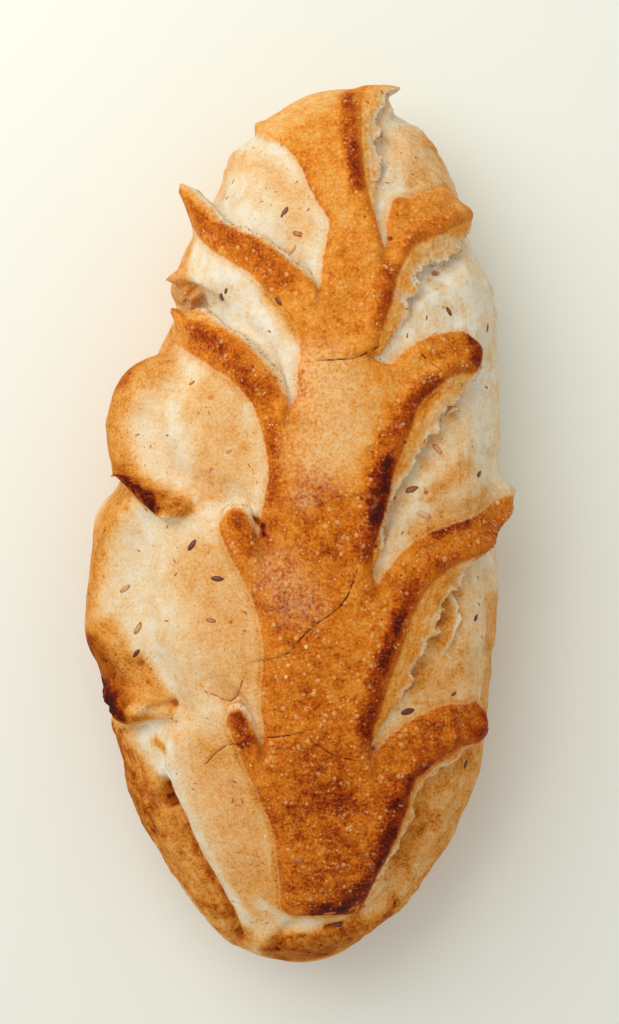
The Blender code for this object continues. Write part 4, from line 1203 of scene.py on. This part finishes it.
def paper_material(settings, groups):
    material, w, place, shader = new_material("pale paper")
    mottle = w.group(groups["bake"], Vector=place, Patches=0.12, Blotches=0.05, Freckles=0.05)["Mottle"]
    share = w.times_plus(mottle, 0.1, 0.05)
    w.feed(shader.inputs["Base Color"], w.tint(share, settings.paper, settings.paper_shade))
    shader.inputs["Roughness"].default_value = 0.9
    shader.inputs["Specular IOR Level"].default_value = 0.2
    return material


def finished_piece(name, mesh, material):
    """A mesh piece at the origin that rides on the loaf."""
    piece = bpy.data.objects.new(name, mesh)
    bpy.context.scene.collection.objects.link(piece)
    mesh.materials.clear()
    mesh.materials.append(material)
    mesh.shade_smooth()
    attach(piece, "root")
    return piece


def mesh_from(shape, name):
    """A mesh with the bmesh's faces, after which the bmesh is gone."""
    mesh = bpy.data.meshes.new(name)
    shape.to_mesh(mesh)
    shape.free()
    return mesh


def skin_tree():
    """The visible skin's surface, to set seeds on."""
    shape = bmesh.new()
    shape.from_mesh(bpy.data.objects["loaf_skin"].data)
    tree = BVHTree.FromBMesh(shape)
    shape.free()
    return tree


SEED_VARIETY = 0.1  # how much seeds of one kind differ in each direction, as a share of their size
TAPER_START = 0.2  # where a pointed seed starts to narrow, as a share of its half length
CREASE_DEPTH = 0.22  # the crease along a grain kernel's back, as shares of its height and width
CREASE_WIDTH = 0.12


def seed_mesh(name, spots, size, pointed, settings):
    """Seeds of one kind, each part sunk in the skin where it lies, as one mesh."""
    surface = skin_tree()
    shape = bmesh.new()
    husk = shape.verts.layers.float.new("husk_toast_and_rim_shade")
    for x, y, turn, toasted, share_of_size in spots:
        above = Vector((x * MM, y * MM + CENTRE_SHIFT_Y, 2 * DOME_HEIGHT))
        spot, normal, _, _ = surface.ray_cast(above, Vector((0, 0, -1)))
        variety = noise.random_unit_vector()
        length, width, height = (side * (1 + SEED_VARIETY * share) for side, share in zip(size, variety))
        made = bmesh.ops.create_uvsphere(shape, u_segments=12, v_segments=9, radius=0.5 * share_of_size)
        lie = Vector((0, 0, 1)).rotation_difference(normal).to_matrix().to_4x4()
        spin = Matrix.Rotation(math.radians(turn), 4, "Z")
        lift = Matrix.Translation(spot + normal * height * (0.5 - settings.sink))
        for vert in made["verts"]:
            out_x, out_y, along = vert.co / share_of_size
            along = along * 2
            # The husk's toast and dark ends, and painted shade darkening its sides towards the rim where it
            # sinks.
            vert[husk] = toasted + max(abs(along) ** 4, settings.rim_shade * (1 - abs(out_y) * 2))
            taper = 1 - pointed * smooth_step(TAPER_START, 1, along)
            crease = 1 - CREASE_DEPTH * bell(out_x, CREASE_WIDTH) * (1 - pointed) if out_y > 0 else 1
            vert.co = (along * length / 2, out_x * width * taper, out_y * height * taper * crease)
            vert.co = lift @ lie @ spin @ (vert.co * share_of_size)
    bmesh.ops.recalc_face_normals(shape, faces=shape.faces)
    return mesh_from(shape, name)


def random_number(w, low, high, seed):
    node = w.put("FunctionNodeRandomValue", {"Min": low, "Max": high, "Seed": seed}, data_type="FLOAT")
    return next(socket for socket in node.outputs if socket.enabled)


def turned(w, rotation, axis, angle):
    """A rotation followed by a turn about one of its own axes."""
    by = w.put("FunctionNodeAxisAngleToRotation", {"Axis": axis, "Angle": angle}).outputs[0]
    inputs = {"Rotation": rotation, "Rotate By": by}
    return w.put("FunctionNodeRotateRotation", inputs, rotation_space="LOCAL").outputs[0]


SMALL_BITS_POWER = 2.2  # the higher, the more of the scattered bits are small
TURN_SEED = 7
LEAN_SEED = 11


def scatter_tree():
    """Geometry Nodes: sets small bits on the skin, thick where a named share is high, and makes them real."""
    tree = bpy.data.node_groups.new("Scatter on the skin", "GeometryNodeTree")
    sockets = {
        "Skin": "Object", "Bit": "Object", "Share": "String", "Bits per square metre": "Float", "Seed": "Int",
        "Smallest": "Float", "Largest": "Float", "Lift": "Float", "Tilt": "Float", "Finish": "Material",
    }
    for name, kind in sockets.items():
        tree.interface.new_socket(name, in_out="INPUT", socket_type="NodeSocket" + kind)
    tree.interface.new_socket("Geometry", in_out="OUTPUT", socket_type="NodeSocketGeometry")
    w = Wiring(tree)
    given = w.put("NodeGroupInput").outputs
    skin = w.put("GeometryNodeObjectInfo", {"Object": given["Skin"]}).outputs["Geometry"]
    bit = w.put("GeometryNodeObjectInfo", {"Object": given["Bit"]}).outputs["Geometry"]
    share = w.put("GeometryNodeInputNamedAttribute", {"Name": given["Share"]}, data_type="FLOAT")
    density = w.times(share.outputs["Attribute"], given["Bits per square metre"])
    points = w.put("GeometryNodeDistributePointsOnFaces", {
        "Mesh": skin, "Density": density, "Seed": given["Seed"],
    }).outputs

    chance = w.maths("POWER", random_number(w, 0.0, 1.0, given["Seed"]), SMALL_BITS_POWER)
    size = w.times_plus(chance, w.maths("SUBTRACT", given["Largest"], given["Smallest"]), given["Smallest"])
    turn = random_number(w, 0.0, 2 * math.pi, TURN_SEED)
    lean = w.times(random_number(w, -1.0, 1.0, LEAN_SEED), given["Tilt"])
    lie = turned(w, points["Rotation"], (0.0, 0.0, 1.0), turn)
    lie = turned(w, lie, (1.0, 0.0, 0.0), lean)
    offset = w.put("ShaderNodeVectorMath", operation="SCALE")
    w.feed(offset.inputs[0], points["Normal"])
    w.feed(offset.inputs["Scale"], w.times(size, given["Lift"]))
    lifted = w.put("GeometryNodeSetPosition", {"Geometry": points["Points"], "Offset": offset.outputs[0]})
    bits = w.put("GeometryNodeInstanceOnPoints", {
        "Points": lifted.outputs[0], "Instance": bit, "Rotation": lie, "Scale": size,
    })
    real = w.put("GeometryNodeRealizeInstances", {"Geometry": bits.outputs[0]})
    dressed = w.put("GeometryNodeSetMaterial", {"Geometry": real.outputs[0], "Material": given["Finish"]})
    w.feed(w.put("NodeGroupOutput").inputs["Geometry"], dressed.outputs[0])
    return tree


def scatter(name, bit_mesh, share, material, **inputs):
    """Small bits on the skin as one plain mesh piece."""
    tree = bpy.data.node_groups.get("Scatter on the skin") or scatter_tree()
    bit = bpy.data.objects.new(name + "_bit", bit_mesh)
    carrier = bpy.data.objects.new(name + "_carrier", bpy.data.meshes.new(name))
    for thing in (bit, carrier):
        bpy.context.scene.collection.objects.link(thing)
    modifier = carrier.modifiers.new("scatter", "NODES")
    modifier.node_group = tree
    values = {"Skin": bpy.data.objects["loaf_skin"], "Bit": bit, "Share": share, "Finish": material}
    values.update({key.replace("_", " "): value for key, value in inputs.items()})
    for item in tree.interface.items_tree:
        if item.in_out == "INPUT" and item.name in values:
            modifier[item.identifier] = values[item.name]
    bpy.context.view_layer.update()
    evaluated = carrier.evaluated_get(bpy.context.evaluated_depsgraph_get())
    mesh = bpy.data.meshes.new_from_object(evaluated)
    mesh.name = name
    for thing in (carrier, bit):
        bpy.data.objects.remove(thing, do_unlink=True)
    return finished_piece(name, mesh, material)


def dome_bit(name, flatness):
    """A closed low dome, one across, to scatter as a blister."""
    shape = bmesh.new()
    bmesh.ops.create_uvsphere(shape, u_segments=8, v_segments=5, radius=0.5)
    blister = shape.verts.layers.float.new("blister")
    for vert in shape.verts:
        vert.co.z *= flatness
        vert[blister] = 1.0
    return mesh_from(shape, name)


FLAKE_NOISE = 2.3
FLAKE_NOISE_OFFSET = Vector((4.1, 0, 0))
FLAKE_RAGGEDNESS = 0.7
FLAKE_CURL = 0.35
FLAKE_LIP_MM = -3  # a flake takes the crumb's colour, as bare skin this far out of the lip and this toasted
FLAKE_BAKE = 0.3


def flake_bit(name, width, thickness):
    """A small torn flake, one long: an uneven curled scrap with a closed skin."""
    shape = bmesh.new()
    bmesh.ops.create_icosphere(shape, subdivisions=1, radius=0.5)
    lip = shape.verts.layers.float.new("lip_mm")
    baked = shape.verts.layers.float.new("crumb_bake_and_shade")
    for vert in shape.verts:
        vert[lip], vert[baked] = FLAKE_LIP_MM, FLAKE_BAKE
        vert.co *= 1 + FLAKE_RAGGEDNESS * noise.noise(vert.co * FLAKE_NOISE + FLAKE_NOISE_OFFSET)
        vert.co.y *= width
        vert.co.z = vert.co.z * thickness + FLAKE_CURL * vert.co.x**2
    return mesh_from(shape, name)


class LoafSkinSettings(bpy.types.PropertyGroup):
    faces_across: IntProperty(name="Faces across", description="Grid faces across the skin", default=160)
    faces_along: IntProperty(name="Faces along", description="Grid faces along the skin", default=300)
    first_refinement: length_property(
        "First refinement", "Faces nearer than this to an edge are split", 3.6 * MM
    )
    second_refinement: length_property(
        "Second refinement", "Faces nearer than this are split again", 1.1 * MM
    )
    ear_height: length_property("Ear height", "How far an ear stands over the crust", 2.6 * MM)
    overhang: length_property("Overhang", "How far a torn lip reaches over its cut", 1.3 * MM)
    brink_width: length_property("Brink width", "How soon the cut falls away under the lip", 1.3 * MM)
    cut_depth: length_property("Cut depth", "How deep a cut is under its ear", 3.8 * MM)


class LoafFinishSettings(bpy.types.PropertyGroup):
    white: colour_property("White crumb", "Crumb that the heat hardly reached", 231, 221, 199)
    cream: colour_property("Cream crumb", "Most of the pale skin", 228, 202, 160)
    peach: colour_property("Peach crumb", "Lightly toasted skin", 226, 177, 116)
    toast: colour_property("Toasted crumb", "Toasted rims of the pale skin", 214, 142, 56)
    brown: colour_property("Brown crumb", "Well baked rims and the side crust", 172, 88, 16)
    dusted: colour_property("Dusted crust", "The palest crust", 236, 196, 140)
    gold: colour_property("Gold crust", "Lightly baked crust", 230, 174, 96)
    orange: colour_property("Orange crust", "Evenly baked crust", 222, 139, 44)
    caramel: colour_property("Caramel crust", "Well baked crust", 200, 107, 20)
    russet: colour_property("Russet crust", "Dark red-brown ridges", 156, 62, 8)
    dark: colour_property("Dark crust", "The darkest ridges", 104, 24, 4)
    char: colour_property("Char", "Burnt folds", 58, 22, 16)
    flour: colour_property("Flour", "Flour dust on the crust", 240, 196, 146)
    blister: colour_property("Blister", "The thin pale skin of a blister", 252, 208, 138)
    bran: colour_property("Bran", "Bran specks in the dough", 124, 76, 42)
    crust_roughness: share_property("Crust roughness", "Roughness of the crust", 0.5)
    crumb_roughness: share_property("Crumb roughness", "Roughness of the crumb", 0.78)
    gloss: share_property("Gloss", "Strength of the skin's reflections", 0.05)
    bump_height: length_property("Bump height", "Depth of the finest relief", 0.16 * MM)


class LoafSeedSettings(bpy.types.PropertyGroup):
    flax_length: length_property("Flax length", "Length of a flax seed", 4.6 * MM)
    kernel_length: length_property("Kernel length", "Length of a grain kernel", 4.6 * MM)
    millet_size: length_property("Millet size", "Width of a millet grain", 1.6 * MM)
    sink: share_property("Sink", "Share of a seed's height in the dough", 0.66, 0.9)
    # Painted shade round a husk's rim.
    rim_shade: share_property("Rim shade", "Darker colour round a husk", 0.55)
    flax: colour_property("Flax", "Husk of the flax seeds", 156, 82, 30)
    # Each edge colour is that seed's toast and dark ends, and the painted shade round its rim.
    flax_edge: colour_property("Flax edge", "Dark ends of the flax seeds", 92, 38, 12)
    kernel: colour_property("Kernel", "Skin of the grain kernels", 232, 190, 134)
    kernel_edge: colour_property("Kernel edge", "Toasted edge of the kernels", 168, 88, 34)
    bran: colour_property("Bran", "Bran flakes in the dough", 176, 112, 62)
    millet: colour_property("Millet", "Skin of the millet grains", 240, 190, 112)
    millet_edge: colour_property("Millet edge", "Toasted millet", 190, 120, 48)


class LoafScatterSettings(bpy.types.PropertyGroup):
    blisters: FloatProperty(
        name="Blisters", description="Blisters in a square metre of crust", default=80000
    )
    blister_size: length_property("Blister size", "Widest blister", 1.8 * MM)
    flakes: FloatProperty(
        name="Torn flakes", description="Flakes in a square metre of torn lip", default=1500000
    )
    flake_size: length_property("Flake size", "Widest torn flake", 1.1 * MM)
    bran: FloatProperty(
        name="Bran flakes", description="Bran flakes in a square metre of skin", default=12000
    )
    bran_size: length_property("Bran size", "Longest bran flake", 1.9 * MM)


class LoafStageSettings(bpy.types.PropertyGroup):
    paper: colour_property("Paper", "The floor under the loaf", 241, 242, 231)
    paper_shade: colour_property("Paper shade", "The paper's slightly darker patches", 225, 221, 205)
    key_power: FloatProperty(name="Key light", description="Power of the soft window light", default=3.6)
    fill: FloatProperty(name="Fill", description="Strength of the light from all round", default=0.63)
    camera_height: length_property("Camera height", "Height of the camera over the table", 0.62)


ON_RIM = 0.9999  # this far out in the square grid, whose half width is 1, a point is on the foot's rim


class LOAF_OT_skin(bpy.types.Operator):
    """Makes the loaf's visible skin and its baked finish"""

    bl_idname = "loaf.skin"
    bl_label = "Loaf skin"

    def execute(self, context):
        settings, finish = context.scene.loaf_skin, context.scene.loaf_finish
        sheet = refined_sheet(settings)
        mesh = sheet.data
        grid = mesh_places(mesh)
        across, along = square_to_disc(grid[:, 0], grid[:, 1])
        places, plain, edges = skin_place(across, along, settings)
        on_rim = np.maximum(abs(grid[:, 0]), abs(grid[:, 1])) > ON_RIM
        places[on_rim, 2] = 0
        mesh.vertices.foreach_set("co", places.astype(np.float32).ravel())
        give_masks(mesh, plain, edges)
        bpy.data.objects.remove(sheet, do_unlink=True)
        close_foot(mesh)
        mesh.name = "loaf_skin"
        skin = finished_piece("loaf_skin", mesh, skin_material(finish, shared_groups()))
        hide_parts("loaf")
        return {"FINISHED"}


class LOAF_OT_blisters(bpy.types.Operator):
    """Scatters baked blisters over the crust"""

    bl_idname = "loaf.blisters"
    bl_label = "Blisters"

    def execute(self, context):
        settings = context.scene.loaf_scatter
        skin = bpy.data.objects["loaf_skin"]
        scatter(
            "crust_blisters", dome_bit("blister", flatness=0.3), "blister_share", skin.data.materials[0],
            Bits_per_square_metre=settings.blisters, Seed=3, Smallest=0.45 * MM,
            Largest=settings.blister_size, Lift=-0.03, Tilt=0.1,
        )
        return {"FINISHED"}


class LOAF_OT_torn_flakes(bpy.types.Operator):
    """Frays the torn lips of the crust with small flakes"""

    bl_idname = "loaf.torn_flakes"
    bl_label = "Torn flakes"

    def execute(self, context):
        settings = context.scene.loaf_scatter
        skin = bpy.data.objects["loaf_skin"]
        flake = flake_bit("flake", width=0.8, thickness=0.3)
        scatter(
            "torn_flakes", flake, "frill_share", skin.data.materials[0],
            Bits_per_square_metre=settings.flakes, Seed=8, Smallest=0.4 * MM, Largest=settings.flake_size,
            Lift=0.1, Tilt=0.8,
        )
        return {"FINISHED"}


class LOAF_OT_bran(bpy.types.Operator):
    """Scatters bran flakes in the pale skin"""

    bl_idname = "loaf.bran"
    bl_label = "Bran flakes"

    def execute(self, context):
        settings, seeds = context.scene.loaf_scatter, context.scene.loaf_seeds
        husk = seed_material("bran husk", seeds.bran, seeds.flax, 0.7, shared_groups())
        flake = flake_bit("bran", width=0.6, thickness=0.14)
        scatter(
            "bran_flakes", flake, "bran_share", husk,
            Bits_per_square_metre=settings.bran, Seed=5, Smallest=0.35 * MM, Largest=settings.bran_size,
            Lift=-0.05, Tilt=0.25,
        )
        return {"FINISHED"}


class LOAF_OT_seeds(bpy.types.Operator):
    """Sets the flax seeds, the grain kernels and the millet in the skin"""

    bl_idname = "loaf.seeds"
    bl_label = "Seeds"

    def execute(self, context):
        settings, groups = context.scene.loaf_seeds, shared_groups()
        flax, kernel, millet = settings.flax_length, settings.kernel_length, settings.millet_size
        # Name, places, length, width and height, how pointed, colours and roughness.
        kinds = (
            ("flax_seeds", FLAX, (flax, 0.42 * flax, 0.3 * flax), 0.3, settings.flax,
             settings.flax_edge, 0.4),
            ("grain_kernels", KERNELS, (kernel, 0.4 * kernel, 0.3 * kernel), 0, settings.kernel,
             settings.kernel_edge, 0.6),
            ("millet_grains", MILLET, (millet, millet, 0.8 * millet), 0, settings.millet,
             settings.millet_edge, 0.45),
        )
        for name, spots, size, pointed, colour, toast_and_shade_colour, roughness in kinds:
            noise.seed_set(len(spots))
            mesh = seed_mesh(name, spots, size, pointed, settings)
            finished_piece(name, mesh, seed_material(name, colour, toast_and_shade_colour, roughness, groups))
        return {"FINISHED"}


FLOOR_SIZE = 3.0
FLOOR_GAP = 0.2 * MM  # keeps the floor clear of the foot
LAMP_SIZE = 0.7
LAMP_PLACE = (-0.36, 0.35, 0.58)
LAMP_COLOUR = (1.0, 0.985, 0.955)
ROOM_COLOUR = (1.0, 1.0, 0.99, 1.0)

# The picture is this many pixels high, and a pixel is this wide at the height where the loaf is widest.
PICTURE_PIXELS = 1024
PIXEL = 0.3228 * MM
WIDEST_HEIGHT = 28 * MM
PICTURE_MIDDLE = (3.07 * MM, 4.87 * MM)
SENSOR_HEIGHT = 24.0


def add_lights(scene, settings):
    """A soft window at the upper left, and even light from all round."""
    lamp = bpy.data.lights.new("window light", "AREA")
    lamp.shape = "RECTANGLE"
    lamp.size, lamp.size_y = LAMP_SIZE, LAMP_SIZE
    lamp.energy = settings.key_power
    lamp.color = LAMP_COLOUR
    window = bpy.data.objects.new("window light", lamp)
    window.location = LAMP_PLACE
    window.rotation_euler = (-Vector(window.location)).to_track_quat("-Z", "Y").to_euler()
    scene.collection.objects.link(window)
    world = bpy.data.worlds.new("soft room")
    world.use_nodes = True
    background = world.node_tree.nodes["Background"]
    background.inputs["Color"].default_value = ROOM_COLOUR
    background.inputs["Strength"].default_value = settings.fill
    scene.world = world


def add_camera(scene, height):
    """A camera that looks straight down and shows the loaf as large as the picture does."""
    camera = bpy.data.cameras.new("camera")
    camera.sensor_fit = "VERTICAL"
    camera.sensor_height = SENSOR_HEIGHT
    camera.lens = (height - WIDEST_HEIGHT) * SENSOR_HEIGHT / (PICTURE_PIXELS * PIXEL)
    view = bpy.data.objects.new("camera", camera)
    view.location = (*PICTURE_MIDDLE, height)
    scene.collection.objects.link(view)
    scene.camera = view


class LOAF_OT_stage(bpy.types.Operator):
    """Sets the floor, the light and the camera straight above"""

    bl_idname = "loaf.stage"
    bl_label = "Stage"

    def execute(self, context):
        settings, scene = context.scene.loaf_stage, context.scene
        bpy.ops.mesh.primitive_plane_add(size=FLOOR_SIZE, location=(0, 0, -FLOOR_GAP))
        floor = context.object
        floor.name = "floor"
        floor.data.materials.append(paper_material(settings, shared_groups()))
        add_lights(scene, settings)
        add_camera(scene, settings.camera_height)
        scene.view_settings.view_transform = "Standard"
        return {"FINISHED"}


OPERATORS = (LOAF_OT_skin, LOAF_OT_blisters, LOAF_OT_torn_flakes, LOAF_OT_bran, LOAF_OT_seeds, LOAF_OT_stage)
SETTINGS = {
    "loaf_skin": LoafSkinSettings,
    "loaf_finish": LoafFinishSettings,
    "loaf_seeds": LoafSeedSettings,
    "loaf_scatter": LoafScatterSettings,
    "loaf_stage": LoafStageSettings,
}


class LOAF_PT_panel(bpy.types.Panel):
    """Lists the loaf's pieces with their sizes and colours"""

    bl_idname = "LOAF_PT_panel"
    bl_label = "Multigrain loaf"
    bl_space_type = "VIEW_3D"
    bl_region_type = "UI"
    bl_category = "Loaf"

    def draw(self, context):
        for operator in OPERATORS:
            self.layout.operator(operator.bl_idname)
        for name in SETTINGS:
            box = self.layout.box()
            group = getattr(context.scene, name)
            for key in group.__annotations__:
                box.prop(group, key)


def register():
    for name, settings in SETTINGS.items():
        bpy.utils.register_class(settings)
        setattr(bpy.types.Scene, name, PointerProperty(type=settings))
    for thing in (*OPERATORS, LOAF_PT_panel):
        bpy.utils.register_class(thing)


def unregister():
    for thing in (LOAF_PT_panel, *reversed(OPERATORS)):
        bpy.utils.unregister_class(thing)
    for name, settings in SETTINGS.items():
        delattr(bpy.types.Scene, name)
        bpy.utils.unregister_class(settings)


def main():
    register()
    bpy.ops.loaf.stage()
    bpy.ops.loaf.skin()
    bpy.ops.loaf.blisters()
    bpy.ops.loaf.torn_flakes()
    bpy.ops.loaf.bran()
    bpy.ops.loaf.seeds()


if __name__ == "__main__":
    main()
